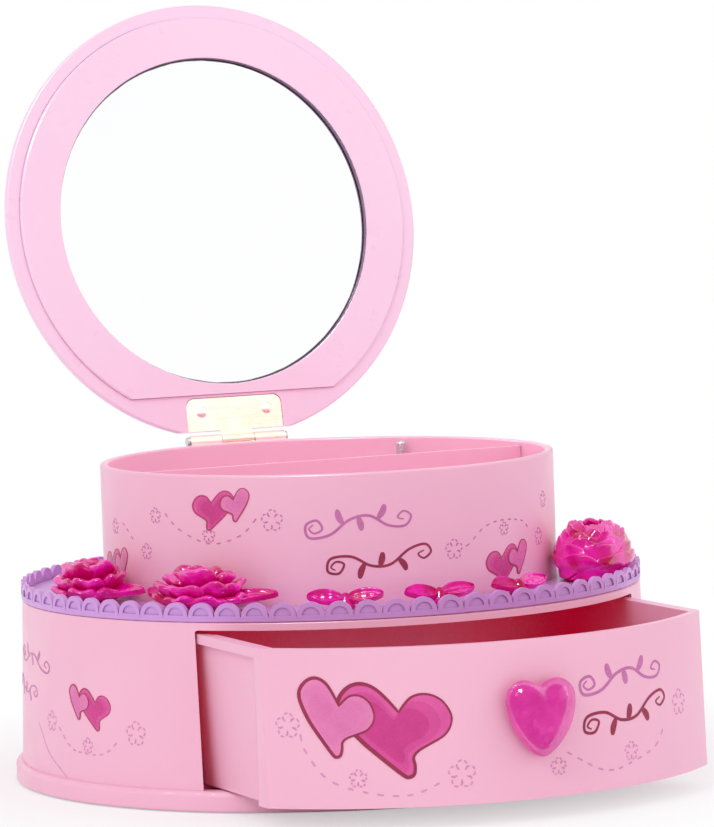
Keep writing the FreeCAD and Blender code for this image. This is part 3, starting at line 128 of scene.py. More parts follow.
class Shader(Nodes):
    """A material's node tree with its principled shader."""

    def __init__(self, name):
        self.material = bpy.data.materials.new(name)
        self.material.use_nodes = True
        super().__init__(self.material.node_tree)
        self.surface = self.nodes["Principled BSDF"]
        self.coords = self.node("TexCoord").outputs["Object"]

    def put(self, **values):
        """Feed the shader's own sockets, with _ for a space in a name."""
        for name, value in values.items():
            self.feed(self.surface.inputs[name.replace("_", " ")], value)

    def vector(self, operation, first, second=(0.0, 0.0, 0.0)):
        """Outputs of vector math."""
        return self.node("VectorMath", {0: first, 1: second}, operation=operation).outputs

    def noise(self, scale, detail=3.0, vector=None):
        """Noise value at a scale per metre."""
        inputs = {"Vector": vector or self.coords, "Scale": scale, "Detail": detail}
        return self.node("TexNoise", {**inputs, "Roughness": NOISE_ROUGHNESS}).outputs["Fac"]

    def clouds(self, scale, low=0.0, high=1.0, detail=3.0):
        """Noise mapped from its usual spread to a range."""
        return self.span(self.noise(scale, detail), *NOISE_SPAN, low, high)

    def cells(self, scale, feature="F1"):
        """Distance to the nearest cell centre or edge."""
        inputs = {"Vector": self.coords, "Scale": scale}
        return self.node("TexVoronoi", inputs, feature=feature).outputs["Distance"]

    def mix(self, factor, first, second):
        """Blend two colours."""
        return self.node("Mix", {"Factor": factor, 6: first, 7: second}, data_type="RGBA").outputs[2]

    def radius(self, shift=0.0):
        """Distance from the Z axis, or from one moved along Y."""
        flat = self.vector("MULTIPLY", self.coords, (1.0, 1.0, 0.0))[0]
        return self.vector("LENGTH", self.vector("SUBTRACT", flat, (0.0, shift, 0.0))[0])["Value"]

    def away(self, centre):
        """Distance from a point in object coordinates."""
        return self.vector("DISTANCE", self.coords, centre)["Value"]

    def axis(self, name):
        """One of the object coordinates."""
        return self.node("SeparateXYZ", {0: self.coords}).outputs[name]

    def hollow(self, reach):
        """1 in the open, towards 0 in corners and recesses."""
        return self.node("AmbientOcclusion", {"Distance": reach}, samples=OCCLUSION_SAMPLES).outputs["AO"]

    def bump(self, value, strength, depth):
        """Surface relief from a value."""
        inputs = {"Strength": strength, "Distance": depth, "Height": value}
        self.put(Normal=self.node("Bump", inputs).outputs["Normal"])


# ---- materials

BLACK = (0.0, 0.0, 0.0, 1.0)
WHITE = (1.0, 1.0, 1.0, 1.0)
BODY = srgb(247, 188, 212), srgb(244, 181, 207)
LID = srgb(255, 216, 240), srgb(253, 210, 236)
# Lid's roughness, and the reach and share of its painted shade in seams
LID_FINISH_AND_SHADE = {"rough": (0.26, 0.36), "crease_shade_reach": 0.0015, "crease_shade_share": 0.93}
# Painted shade inside the case and drawer: its crimson and the share for its darkest clouds, then the painted
# glow over it and inside the tray
SHADE_CRIMSON = srgb(190, 10, 58)
DARKEST_SHADE_SHARE = 0.8
INNER_GLOW = 0.34
TRAY_GLOW = 0.035
METAL_GRAIN = (40.0, 1600.0, 1600.0)

# Millimetres of skin that keep the outer colour over the painted inner shade, and the drawer's floor
WALL_SKIN = 1.2
DECK_SKIN = 0.6
DRAWER_SKIN = 1.0
DRAWER_FLOOR = 1.5
TRAY_SKIN = 1.3

# Reach of the occlusion for the painted shade where the case covers the drawer, and the open shares at which
# that shade is full and gone
COVER_REACH = 0.05
COVER_SPAN = (0.36, 0.6)

# Mirror: middle, insets of the painted shade line at the glass's rim, its raggedness, and the width of the
# painted shade line on the lip outside
low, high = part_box("mirror_glass")
MIRROR_CENTRE = tuple((a + b) / 2 for a, b in zip(low, high))
EDGE_SHADE_INSETS = (0.7, 0.4)
EDGE_SHADE_RAGGED = 0.0005
LIP_SHADE_WIDTH = 0.22


def moulded(name, colour, shade, rough=(0.28, 0.4), crease_shade_reach=0.003, crease_shade_share=0.86):
    """Moulded plastic: faint clouds of colour, painted shade deeper in seams and recesses, with an eggshell
    skin.
    """
    look = Shader(name)
    tone = look.mix(look.clouds(11.0, detail=4.0), colour, shade)
    # Painted shade: the colour turns darker where occlusion finds seams and recesses
    open_share = look.span(look.hollow(crease_shade_reach), 0.2, 0.8)
    tone = look.mix(open_share, darker(shade, crease_shade_share), tone)
    look.put(Base_Color=tone, Roughness=look.clouds(90.0, *rough))
    look.bump(look.noise(1400.0, 2.0), 0.05, 0.0002)
    return look


def paint_shade(look, mask, inside, glow=0.0):
    """Painted shade in another colour where the mask is 1, with a painted glow standing in for the light that
    a thin wall lets in.
    """
    tone = look.surface.inputs["Base Color"].links[0].from_socket
    depth = look.mix(look.clouds(30.0), inside, darker(inside, DARKEST_SHADE_SHARE))
    look.put(Base_Color=look.mix(mask, tone, depth))
    if glow:
        look.put(Emission_Color=look.mix(mask, BLACK, depth), Emission_Strength=glow)
    return look


def inner_shaded_wall(name):
    """Lower tier's wall with painted shade in deep rose, and a painted glow, on its inner side."""
    look = moulded(name, *BODY)
    height = look.axis("Z")
    drop = look.math("MULTIPLY", look.math("SUBTRACT", height, PLINTH_TOP * MM), WALL_SLOPE)
    skin = look.math("SUBTRACT", (FOOT_RADIUS - WALL_SKIN) * MM, drop)
    within = look.math("LESS_THAN", look.radius(), skin)
    below = look.math("LESS_THAN", height, (DECK_TOP - DECK_SKIN) * MM)
    return paint_shade(look, look.math("MULTIPLY", within, below), SHADE_CRIMSON, INNER_GLOW)


def inner_shaded_drawer(name):
    """Drawer with painted shade in deep rose, and a painted glow, inside where the case covers it."""
    look = moulded(name, *BODY)
    height = look.axis("Z")
    # Painted shade where occlusion shows the case covering the drawer's inside
    mask = look.span(look.hollow(COVER_REACH), *COVER_SPAN, 1.0, 0.0)
    draft = look.math("MULTIPLY", height, DRAWER_DRAFT)
    beside = look.math("SUBTRACT", look.math("ABSOLUTE", look.axis("X")), draft)
    skin = (FOOT_RADIUS - FLARE - DRAWER_SKIN) * MM
    for limit in (
        look.math("LESS_THAN", look.radius(-DRAWER_OPEN * MM), skin),
        look.math("LESS_THAN", beside, DRAWER_HALF * MM),
        look.math("GREATER_THAN", height, (PLINTH_TOP + DRAWER_FLOOR) * MM),
    ):
        mask = look.math("MULTIPLY", mask, limit)
    return paint_shade(look, mask, SHADE_CRIMSON, INNER_GLOW)


def tray_with_painted_glow(name):
    """Round tray with a painted glow on its inside, standing in for light that its thin wall lets through."""
    look = moulded(name, *BODY)
    within = look.math("LESS_THAN", look.radius(), (UPPER_RADIUS - TRAY_SKIN) * MM)
    # Painted glow on the inside of the tray's wall
    look.put(Emission_Color=look.mix(within, BLACK, BODY[0]), Emission_Strength=TRAY_GLOW)
    return look


def acrylic(name, bright, deep, pale, edge=None, glow=0.14):
    """Tinted acrylic with a painted glow, painted shade deeper in its folds, pale specks painted as glints,
    and a paler painted rim highlight if an edge colour is given.
    """
    look = Shader(name)
    tone = look.mix(look.span(look.noise(120.0, 4.0), 0.4, 0.66), bright, deep)
    # Pale specks painted as glints
    tone = look.mix(look.span(look.noise(200.0), 0.6, 0.8), tone, pale)
    # Painted shade deeper in the folds, from occlusion
    tone = look.mix(look.span(look.hollow(0.004), 0.1, 0.6), deep, tone)
    # Painted highlight on the rim, where the surface turns sideways to the view
    if edge:
        facing = look.node("LayerWeight", {"Blend": 0.4}).outputs["Facing"]
        tone = look.mix(look.span(facing, 0.55, 1.0), tone, edge)
    # The emission is a painted glow
    look.put(
        Base_Color=tone, Emission_Color=tone, Emission_Strength=glow, Transmission_Weight=0.12,
        Roughness=look.clouds(300.0, 0.06, 0.14), Specular_IOR_Level=0.2, IOR=1.45,
    )
    look.bump(look.noise(320.0), 0.07, 0.0006)
    return look


def metal(name, colour, shade, rough=(0.22, 0.38)):
    """Drawn or stamped metal with a fine directional grain."""
    look = Shader(name)
    lines = look.noise(1.0, vector=look.vector("MULTIPLY", look.coords, METAL_GRAIN)[0])
    tone = look.mix(look.span(look.noise(110.0, 4.0), 0.4, 0.75), colour, shade)
    look.put(Base_Color=tone, Metallic=1.0, Roughness=look.span(lines, *NOISE_SPAN, *rough))
    look.bump(lines, 0.06, 0.0001)
    return look


def looking_glass(name):
    """Silvered glass with a painted dark shade line round its rim."""
    look = Shader(name)
    ragged = look.math("MULTIPLY", look.math("SUBTRACT", look.noise(160.0), 0.5), EDGE_SHADE_RAGGED)
    edge = look.math("ADD", look.away(MIRROR_CENTRE), ragged)
    # Painted shade line round the glass's rim
    rim = look.span(edge, *((MIRROR_RADIUS - inset) * MM for inset in EDGE_SHADE_INSETS))
    silver = look.mix(look.clouds(9.0), (0.995, 0.995, 1.0, 1.0), (0.975, 0.98, 0.99, 1.0))
    look.put(
        Base_Color=look.mix(rim, silver, srgb(92, 78, 90)), Metallic=1.0,
        Roughness=look.span(look.noise(700.0), 0.4, 0.7, 0.006, 0.03),
    )
    return look


def lid_ring_with_lip_shade(name, edge):
    """Ring of the lid with a painted shade line round its inner edge."""
    look = moulded(name, *LID, **LID_FINISH_AND_SHADE)
    lip = look.math("LESS_THAN", look.away(MIRROR_CENTRE), (MIRROR_RADIUS + LIP_SHADE_WIDTH) * MM)
    return paint_shade(look, lip, edge)


def ink(name, colour, shade):
    """Screen-printed ink, a little uneven and glossier than the plastic."""
    look = Shader(name)
    tone = look.mix(look.span(look.noise(150.0, 4.0), 0.35, 0.65), colour, shade)
    look.put(Base_Color=tone, Roughness=look.clouds(600.0, 0.22, 0.36))
    look.bump(look.noise(1800.0, 2.0), 0.05, 0.0001)
    return look


def tulle(name, colour, shade):
    """Fine net fabric."""
    look = Shader(name)
    thread = look.span(look.cells(1500.0, "DISTANCE_TO_EDGE"), 0.03, 0.16, 1.0, 0.0)
    look.put(Base_Color=look.mix(thread, shade, colour), Roughness=0.8, Sheen_Weight=0.4)
    look.bump(thread, 0.3, 0.0001)
    return look


def foam(name, colour, shade):
    """Open-cell foam."""
    look = Shader(name)
    pores = look.cells(900.0)
    look.put(Base_Color=look.mix(look.span(pores, 0.1, 0.6), shade, colour), Roughness=0.9)
    look.bump(pores, 0.5, 0.0004)
    return look


# Acrylics with a painted glow, painted shade in folds and pale specks painted as glints; the knob's also with
# a painted rim highlight
magenta = acrylic("magenta_acrylic", srgb(230, 14, 166), srgb(186, 0, 76), srgb(248, 62, 210))
knob_pink = acrylic(
    "knob_acrylic", srgb(222, 58, 162), srgb(204, 36, 144), srgb(232, 88, 178), edge=srgb(232, 104, 182),
    glow=0.08,
)
# Lilac with stronger painted shade in the recesses of its scallops
lilac = moulded("lilac_plastic", srgb(212, 160, 226), srgb(200, 140, 212), crease_shade_reach=0.0022, crease_shade_share=0.66)
nylon = moulded("cream_nylon", srgb(236, 230, 214), srgb(222, 214, 194), rough=(0.34, 0.48))
white_gloss = moulded("white_gloss_plastic", srgb(248, 242, 240), srgb(240, 228, 228), rough=(0.16, 0.26))

NODE_LOOKS = {
    moulded("body_pink_plastic", *BODY): ("base_plate",),
    tray_with_painted_glow("tray_pink_plastic"): ("upper_tier", "tray_divider"),
    inner_shaded_drawer("drawer_pink_plastic"): ("drawer_box",),
    inner_shaded_wall("inner_shaded_pink_plastic"): ("lower_tier",),
    # Rails inside the case in a darker rose: painted shade on the same pink plastic
    moulded("rail_shaded_pink_plastic", srgb(226, 120, 164), srgb(206, 92, 140)): ("drawer_rails",),
    moulded("lid_pink_plastic", *LID, **LID_FINISH_AND_SHADE): ("lid_cover",),
    # Mirror frame with a painted shade line on its lip
    lid_ring_with_lip_shade("frame_pink_plastic", srgb(124, 102, 128)): ("mirror_frame",),
    lilac: ("lace_tray",),
    magenta: ("side_blossoms", "full_rose", "leaf_sprigs"),
    knob_pink: ("heart_knob",),
    metal("pale_brass", srgb(255, 250, 236), srgb(252, 240, 214)): (
        "case_hinge_leaf", "lid_hinge_leaf", "spindle_bush", "music_cylinder", "case_rivets", "lid_rivets",
    ),
    metal("bright_steel", srgb(214, 216, 220), srgb(176, 178, 184)): (
        "base_screws", "tier_screws", "hinge_pin", "movement_screws", "comb_screws", "knob_screw",
        "music_comb", "drive_spindle", "stop_pin", "winding_arbor", "winding_key", "cylinder_brackets",
    ),
    metal("grey_zinc", srgb(176, 178, 182), srgb(146, 148, 154), rough=(0.4, 0.56)): (
        "movement_bedplate", "comb_block", "spring_barrel",
    ),
    looking_glass("silvered_glass"): ("mirror_glass",),
    foam("white_foam", srgb(238, 236, 230), srgb(206, 204, 198)): ("mirror_pads",),
    nylon: ("governor_housing",),
    white_gloss: ("turntable", "dancer_figure", "dancer_tutu"),
}
for look, names in NODE_LOOKS.items():
    for name in names:
        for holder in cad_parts[name].material_slots:
            holder.material = look.material


# ---- mesh helpers

# Limbs: points between places, a first direction across, and the angles of the end rings
LIMB_STEPS = 5
LIMB_ACROSS = (0.31, 0.95, 0.05)
LIMB_END = (0.25, 0.7, 1.15)


def show(name, data):
    """New object in the scene."""
    made = bpy.data.objects.new(name, data)
    bpy.context.scene.collection.objects.link(made)
    return made


class Mesh:
    """Collects closed shapes in millimetres for one piece."""

    def __init__(self):
        self.points, self.faces = [], []

    def add(self, points, faces):
        """Append a shape."""
        start = len(self.points)
        self.points.extend(Vector(point) for point in points)
        self.faces.extend(tuple(start + index for index in face) for face in faces)

    def merge(self, other, place):
        """Append another mesh, moved by a function of its points."""
        self.add([place(point) for point in other.points], other.faces)

    def piece(self, name, look, body, slot, smooth=True, rounded=False):
        """Make the object on its body, rounded by subdivision if asked."""
        data = bpy.data.meshes.new(name)
        data.from_pydata([point * MM for point in self.points], [], self.faces)
        data.validate()
        data.update()
        if smooth:
            data.polygons.foreach_set("use_smooth", [True] * len(data.polygons))
        data.materials.append(look.material)
        made = show(name, data)
        if rounded:
            soft = made.modifiers.new("rounded", "SUBSURF")
            soft.levels = soft.render_levels = 1
        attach(made, body)
        return made


def around(count):
    """Angles of points spread evenly on a circle."""
    return [tau * k / count for k in range(count)]


def strip(a, b):
    """Faces between two lines of point numbers."""
    return list(zip(a, a[1:], b[1:], b))


def strip_back(a, b):
    """The same faces turned over."""
    return list(zip(a, b, b[1:], a[1:]))


def plate(grid, closed=False):
    """Closed shape from a grid of pairs of points, front and back."""
    columns = len(grid[0])
    points = [pair[side] for side in (0, 1) for row in grid for pair in row]
    lines = [list(range(start, start + columns)) for start in range(0, len(points), columns)]
    if closed:
        lines = [line + line[:1] for line in lines]
    front, back = lines[:len(grid)], lines[len(grid):]
    faces = strip_back(front[0], back[0]) + strip(front[-1], back[-1])
    for row in range(len(grid) - 1):
        faces += strip(front[row], front[row + 1]) + strip_back(back[row], back[row + 1])
    if not closed:
        front, back = list(zip(*front)), list(zip(*back))
        faces += strip(front[0], back[0]) + strip_back(front[-1], back[-1])
    return points, faces


def rings_closed(rings, ends=None):
    """Closed shape from rings, with a point at each end, in the ring's middle by default."""
    count = len(rings[0])
    ends = ends or [sum(ring, Vector()) / count for ring in (rings[0], rings[-1])]
    points = [point for ring in rings for point in ring] + ends
    first_end, last_end = len(points) - 2, len(points) - 1
    lines = [[*range(start, start + count), start] for start in range(0, first_end, count)]
    faces = [(b, a, first_end) for a, b in zip(lines[0], lines[0][1:])]
    for a, b in zip(lines, lines[1:]):
        faces += strip(a, b)
    return points, faces + [(a, b, last_end) for a, b in zip(lines[-1], lines[-1][1:])]


def smooth_line(points, steps):
    """Points on a smooth curve through the given ones."""
    line = [Vector(point) for point in points]
    padded = [line[0], *line, line[-1]]
    out = []
    for before, start, end, after in zip(padded, line, line[1:], padded[3:]):
        for t in (step / steps for step in range(steps)):
            out.append(0.5 * (
                2 * start + (end - before) * t + (2 * before - 5 * start + 4 * end - after) * t ** 2
                + (3 * start - before - 3 * end + after) * t ** 3
            ))
    return out + line[-1:]


def limb(points, radii, sides=12):
    """Round tapering limb along a smooth line, with rounded ends."""
    path = smooth_line([(*point, radius) for point, radius in zip(points, radii)], LIMB_STEPS)
    places = [Vector(point[:3]) for point in path]
    last = len(path) - 1
    rings = []
    side = Vector(LIMB_ACROSS)
    for index, place in enumerate(places):
        size = path[index][3]
        along = (places[min(index + 1, last)] - places[max(index - 1, 0)]).normalized()
        side = (side - along * side.dot(along)).normalized()
        other = along.cross(side)
        stations = [(0, size)]
        end = [(size * cos(a), size * sin(a)) for a in LIMB_END]
        if index == 0:
            stations = [(-shift, radius) for shift, radius in end] + stations
        if index == last:
            stations += end[::-1]
        for shift, radius in stations:
            rings.append([
                place + along * shift + (side * cos(a) + other * sin(a)) * radius
                for a in around(sides)
            ])
    return rings_closed(rings)


def lathe(corners, sides=28, middle=(0, 0, 0)):
    """Closed turned shape from (radius, height) corners, low to high."""
    return rings_closed([
        [Vector((radius * cos(a), radius * sin(a), height)) + Vector(middle) for a in around(sides)]
        for radius, height in corners
    ])


# ---- prints on the curved walls

# Prints reach from just inside the wall to a level proud of it
SUNK = -0.06
PROUD = 0.07
SWEEP_PROUD = 0.05
LEVEL_STEP = 0.02
OUTLINE_STEP = 0.06

FILL_RINGS = 7
DASH_STEPS = 24
THIN_ENDS = 0.35

# Printed flower: petals, first turn, a petal's middle and radius as shares of its size, and dashes
FLOWER_PETALS = 5
FLOWER_TURN = 0.3
PETAL_MIDDLE = 0.58
PETAL_RADIUS = 0.36
PETAL_DASHES = 4
PETAL_SWEEP = 5.0
DASH_POINTS = 5
DASH_TURN = 0.2

# Leaning heart in a unit box, from its notch round by the right lobe and the hooked tip
LEAN_HEART = (
    (0.54, 0.69), (0.65, 0.84), (0.79, 0.87), (0.92, 0.80), (1.0, 0.66), (1.0, 0.54), (0.94, 0.43),
    (0.82, 0.35), (0.71, 0.28), (0.66, 0.21), (0.67, 0.12), (0.66, 0.03), (0.61, 0.0), (0.56, 0.03),
    (0.42, 0.17), (0.22, 0.38), (0.10, 0.54), (0.02, 0.68), (0.0, 0.79), (0.04, 0.90), (0.12, 0.98),
    (0.22, 1.0), (0.33, 0.95), (0.44, 0.83), (0.54, 0.69),
)
HEART_STEPS = 4

# Pair of hearts, full size: offset, width, height, tilt, fill, level and outline
HEART_PAIR = (
    ((6.4, -0.7), 35.4, 29.4, 0.0, "dark", 0.06, 1.0),
    ((-12.6, 3.2), 24.6, 23.0, -11.0, "light", 0.16, 0.85),
)
# Deeper middles as (share, ink), their shift as shares, and the scale of softer outlines
HEART_CORES = ((0.86, "_mid"), (0.66, "_core"))
CORE_SHIFT = (-0.03, -0.02)
SMALL_PAIR = 0.6
LEAST_BRUSH = 0.42

# Scroll as shares of its width and height: stem, then each leaf's root and reach
SCROLL_STEM = (
    (0.09, 0.18), (0.05, 0.02), (0.1, -0.18), (0.17, -0.02), (0.12, 0.34), (0.02, 0.18), (0.05, -0.34),
    (0.24, -0.3), (0.42, 0.22), (0.6, 0.3), (0.78, -0.2), (0.94, -0.3), (1.0, 0.06), (0.93, 0.3),
    (0.87, 0.08), (0.93, -0.04),
)
SCROLL_LEAVES = ((0.36, 0.08, -0.05, 0.62), (0.5, 0.3, 0.03, -0.58), (0.68, 0.12, 0.07, 0.56))
LEAF_PEN = 2.4
LEAF_ENDS = 0.05


class Wall:
    """A round wall that prints lie on: places are (degrees from the front, height)."""

    def __init__(self, radius, slope=0.0, foot=0.0, shift=0.0):
        self.radius, self.slope, self.foot, self.shift = radius, slope, foot, shift

    def flat(self, angle, height):
        """Place unrolled to millimetres along the wall and up."""
        return Vector((radians(angle) * self.radius, height))

    def wrap(self, point, proud):
        """Unrolled point back on the wall, standing proud of it."""
        angle = point[0] / self.radius
        reach = self.radius - self.slope * (point[1] - self.foot) + proud
        return Vector((reach * sin(angle), -reach * cos(angle) - self.shift, point[1]))


def pointing(angle):
    """Flat unit vector."""
    return Vector((cos(angle), sin(angle)))


def printed_fill(mesh, wall, outline, proud, centre):
    """Filled star-shaped print as a thin closed leaf."""
    def ring(step, level):
        return [wall.wrap(centre + (point - centre) * (step / FILL_RINGS), level) for point in outline]

    steps = range(1, FILL_RINGS + 1)
    rings = [ring(step, SUNK) for step in steps] + [ring(step, proud) for step in steps[::-1]]
    mesh.add(*rings_closed(rings, [wall.wrap(centre, level) for level in (SUNK, proud)]))


def printed_stroke(mesh, wall, line, widths, proud=PROUD, closed=False):
    """Brush stroke along an unrolled line, with its width at each point."""
    padded = [line[-1 if closed else 0], *line, line[0 if closed else -1]]
    left, right = [], []
    for before, point, after, width in zip(padded, line, padded[2:], widths):
        along = after - before
        along = along.normalized() if along.length > TINY else Vector((1, 0))
        side = Vector((-along[1], along[0])) * width / 2
        left.append(point + side)
        right.append(point - side)
    grid = [[(wall.wrap(p, proud), wall.wrap(p, SUNK)) for p in edge] for edge in (left, right)]
    mesh.add(*plate(grid if closed else list(zip(*grid)), closed))


def pen(count, thick, thin=THIN_ENDS):
    """Widths that taper at both ends."""
    return [thick * (thin + (1 - thin) * sin(pi * (i + 0.5) / count) ** 0.6) for i in range(count)]


def printed_dashes(mesh, wall, places, dash, gap, thick):
    """Dashed line through places."""
    line = smooth_line([wall.flat(*place) for place in places], DASH_STEPS)
    run, stretch, drawing = 0.0, [], True
    for point, following in zip(line, line[1:]):
        run += (following - point).length
        if drawing:
            stretch.append(point)
        if run >= (dash if drawing else gap):
            if drawing and len(stretch) > 1:
                printed_stroke(mesh, wall, stretch, pen(len(stretch), thick))
            stretch, drawing, run = [], not drawing, 0.0


def printed_flower(mesh, wall, place, size, thick):
    """Flower of petals drawn in short dashes."""
    for index in range(FLOWER_PETALS):
        angle = FLOWER_TURN + tau * index / FLOWER_PETALS
        hub = wall.flat(*place) + pointing(angle) * size * PETAL_MIDDLE
        for part in range(PETAL_DASHES):
            start = angle - PETAL_SWEEP / 2 + PETAL_SWEEP * part / PETAL_DASHES
            turns = [start + step * DASH_TURN for step in range(DASH_POINTS)]
            line = [hub + pointing(turn) * size * PETAL_RADIUS for turn in turns]
            printed_stroke(mesh, wall, line, pen(DASH_POINTS, thick))


def heart_line(middle, wide, tall, tilt, mirror):
    """Tilted outline of a leaning heart about its middle."""
    turn = Matrix.Rotation(radians(tilt), 2)
    out = []
    for x, y in smooth_line([(x - 0.5, y - 0.5) for x, y in LEAN_HEART], HEART_STEPS)[:-1]:
        x, y = turn @ Vector((x * wide, y * tall))
        out.append(middle + Vector((mirror * x, y)))
    return out[::mirror]


def printed_pair(meshes, wall, place, scale, mirror):
    """Two overlapping hearts with a two-tone fill and a brushed outline."""
    for offset, wide, tall, tilt, fill, level, thick in HEART_PAIR:
        middle = wall.flat(*place) + Vector((mirror * offset[0], offset[1])) * scale
        outline = heart_line(middle, wide * scale, tall * scale, tilt, mirror)
        printed_fill(meshes[fill], wall, outline, level, middle)
        inner = middle + Vector((CORE_SHIFT[0] * mirror * wide, CORE_SHIFT[1] * tall)) * scale
        for step, (share, tone) in enumerate(HEART_CORES):
            core = [inner + (point - middle) * share for point in outline]
            printed_fill(meshes[fill + tone], wall, core, level + LEVEL_STEP * (step + 1), inner)
        brush = max(thick * scale, LEAST_BRUSH)
        widths = [brush * (1.0 + 0.4 * sin(a + 3.6)) for a in around(len(outline))]
        line = "outline" if scale > SMALL_PAIR else "outline_soft"
        printed_stroke(meshes[line], wall, outline, widths, level + OUTLINE_STEP, closed=True)


def scroll(mesh, wall, start, wide, tall, rise, thick, flip):
    """Scrolled flourish with leaves, in place of a line of words."""
    origin = wall.flat(*start)

    def at(u, v):
        return origin + Vector((u * wide, u * rise + flip * v * tall))

    stem = smooth_line([at(u, v) for u, v in SCROLL_STEM], 8)
    printed_stroke(mesh, wall, stem, pen(len(stem), thick))
    for u, v, du, dv in SCROLL_LEAVES:
        line = smooth_line([at(u, v), at(u + du * 0.7, v + dv * 0.5), at(u + du, v + dv)], 7)
        printed_stroke(mesh, wall, line, pen(len(line), thick * LEAF_PEN, LEAF_ENDS))


# Inks as (key, name, colour, shade)
INK_TONES = (
    ("light", "rose_light", (232, 132, 184), (226, 118, 176)),
    ("light_mid", "rose_soft", (230, 127, 182), (224, 114, 174)),
    ("light_core", "rose_pale", (228, 122, 180), (222, 110, 172)),
    ("dark", "rose_mid", (226, 88, 164), (218, 76, 154)),
    ("dark_mid", "rose_full", (219, 70, 152), (210, 60, 143)),
    ("dark_core", "rose_dark", (210, 50, 140), (200, 42, 130)),
    ("outline", "maroon", (158, 24, 74), (142, 18, 64)),
    ("outline_soft", "berry", (186, 52, 106), (174, 44, 96)),
    ("mauve", "mauve", (204, 116, 174), (192, 102, 164)),
    ("thread", "orchid", (213, 128, 184), (204, 116, 176)),
    ("faint", "faint", (226, 152, 196), (218, 140, 188)),
)
INKS = {key: ink("ink_" + name, srgb(*colour), srgb(*shade)) for key, name, colour, shade in INK_TONES}

# Prints of each wall: pairs of hearts as (place, scale, -1 if mirrored), dashed garlands and thin sweeps
# through places, flowers as (place, size), scrolls as (ink, place, width, height, rise, pen, -1 if flipped)
UPPER_PRINTS = {
    "pairs": (((-51.0, 90.0), 0.42, -1), ((-92.5, 69.4), 0.42, -1), ((26.2, 68.2), 0.43, -1)),
    "garlands": (
        ((-68.2, 88.3), (-63.3, 83.3), (-54.3, 79.3), (-46.0, 81.9), (-41.5, 87.5)),
        ((-87.0, 84.0), (-84.7, 82.4), (-80.2, 77.7)),
        ((11.6, 75.4), (13.1, 76.4), (17.4, 80.5), (22.3, 82.1), (28.4, 81.9), (33.5, 80.5), (36.3, 76.6)),
    ),
    "flowers": (
        ((-71.7, 87.4), 2.6), ((-37.7, 86.6), 3.6), ((-54.6, 81.9), 2.4), ((-91.7, 82.5), 2.6),
        ((-75.7, 75.8), 2.7), ((8.1, 74.8), 3.3), ((24.8, 79.4), 2.2), ((41.3, 74.8), 3.0),
        ((45.2, 86.2), 2.8),
    ),
    "scrolls": (
        ("mauve", (-30.0, 83.4), 34.0, 7.6, 2.6, 0.85, 1),
        ("outline", (-25.0, 71.6), 34.0, 7.2, 3.8, 0.85, -1),
    ),
}
BASE_PRINTS = {
    "pairs": (((-73.4, 29.3), 0.43, 1),),
    "garlands": (
        ((-83.1, 22.0), (-79.3, 16.7), (-76.4, 15.3), (-70.9, 15.1), (-67.7, 17.1), (-65.0, 21.5)),
    ),
    "flowers": (((-85.9, 23.4), 3.4), ((-73.7, 17.6), 2.6), ((-61.5, 22.8), 4.0)),
    "sweeps": (((-92.2, 21.9), (-87.3, 13.3), (-82.9, 9.1), (-80.2, 6.5)),),
    "scrolls": (
        ("mauve", (-106.0, 42.4), 34.0, 6.0, -2.6, 0.7, 1),
        ("mauve", (-110.0, 32.6), 30.0, 5.4, -1.6, 0.6, -1),
    ),
}
DRAWER_PRINTS = {
    "pairs": (((-28.1, 30.4), 0.96, 1),),
    "garlands": (
        ((-40.8, 29.0), (-39.9, 23.7), (-35.9, 15.2), (-28.8, 11.1), (-22.1, 10.4), (-16.8, 14.0)),
        ((5.8, 19.6), (9.0, 16.4), (12.0, 13.6), (15.2, 12.4), (18.6, 13.2), (26.4, 17.2), (29.4, 23.2)),
    ),
    "flowers": (
        ((-43.0, 31.5), 4.0), ((-13.5, 15.8), 4.4), ((-31.0, 15.6), 2.8), ((4.0, 15.6), 2.8),
        ((20.0, 17.2), 3.0), ((34.9, 28.8), 4.2),
    ),
    "scrolls": (
        ("mauve", (8.8, 38.6), 36.0, 7.6, 2.2, 0.95, 1),
        ("outline", (9.2, 26.4), 37.0, 7.6, 5.6, 0.95, -1),
    ),
}
# Lengths of dashes and gaps, pen of the dashes and pen of the flowers
FINE_LINES = (1.7, 1.5, 0.55, 0.5)
BROAD_LINES = (2.2, 1.8, 0.65, 0.6)
SWEEP_PEN = 0.45


def print_on(wall, body, title, line_ink, lines, pairs, garlands, flowers, scrolls, sweeps=()):
    """Print pieces of one wall, with its garlands and flowers in one ink."""
    meshes = {key: Mesh() for key in INKS}
    *dashes, flower_pen = lines
    for pair in pairs:
        printed_pair(meshes, wall, *pair)
    for garland in garlands:
        printed_dashes(meshes[line_ink], wall, garland, *dashes)
    for flower in flowers:
        printed_flower(meshes[line_ink], wall, *flower, flower_pen)
    for sweep in sweeps:
        line = smooth_line([wall.flat(*place) for place in sweep], 10)
        printed_stroke(meshes[line_ink], wall, line, pen(len(line), SWEEP_PEN), SWEEP_PROUD)
    for key, *flourish in scrolls:
        scroll(meshes[key], wall, *flourish)
    for key, mesh in meshes.items():
        if mesh.points:
            mesh.piece(f"{title}_print_{key}", INKS[key], body, "body_pink", smooth=False)


LOWER_WALL = (FOOT_RADIUS, WALL_SLOPE, PLINTH_TOP)
print_on(Wall(UPPER_RADIUS), "case", "upper", "thread", FINE_LINES, **UPPER_PRINTS)
print_on(Wall(*LOWER_WALL), "case", "base", "faint", FINE_LINES, **BASE_PRINTS)
print_on(Wall(*LOWER_WALL, DRAWER_OPEN), "drawer", "drawer", "faint", BROAD_LINES, **DRAWER_PRINTS)


# ---- ledge ornaments

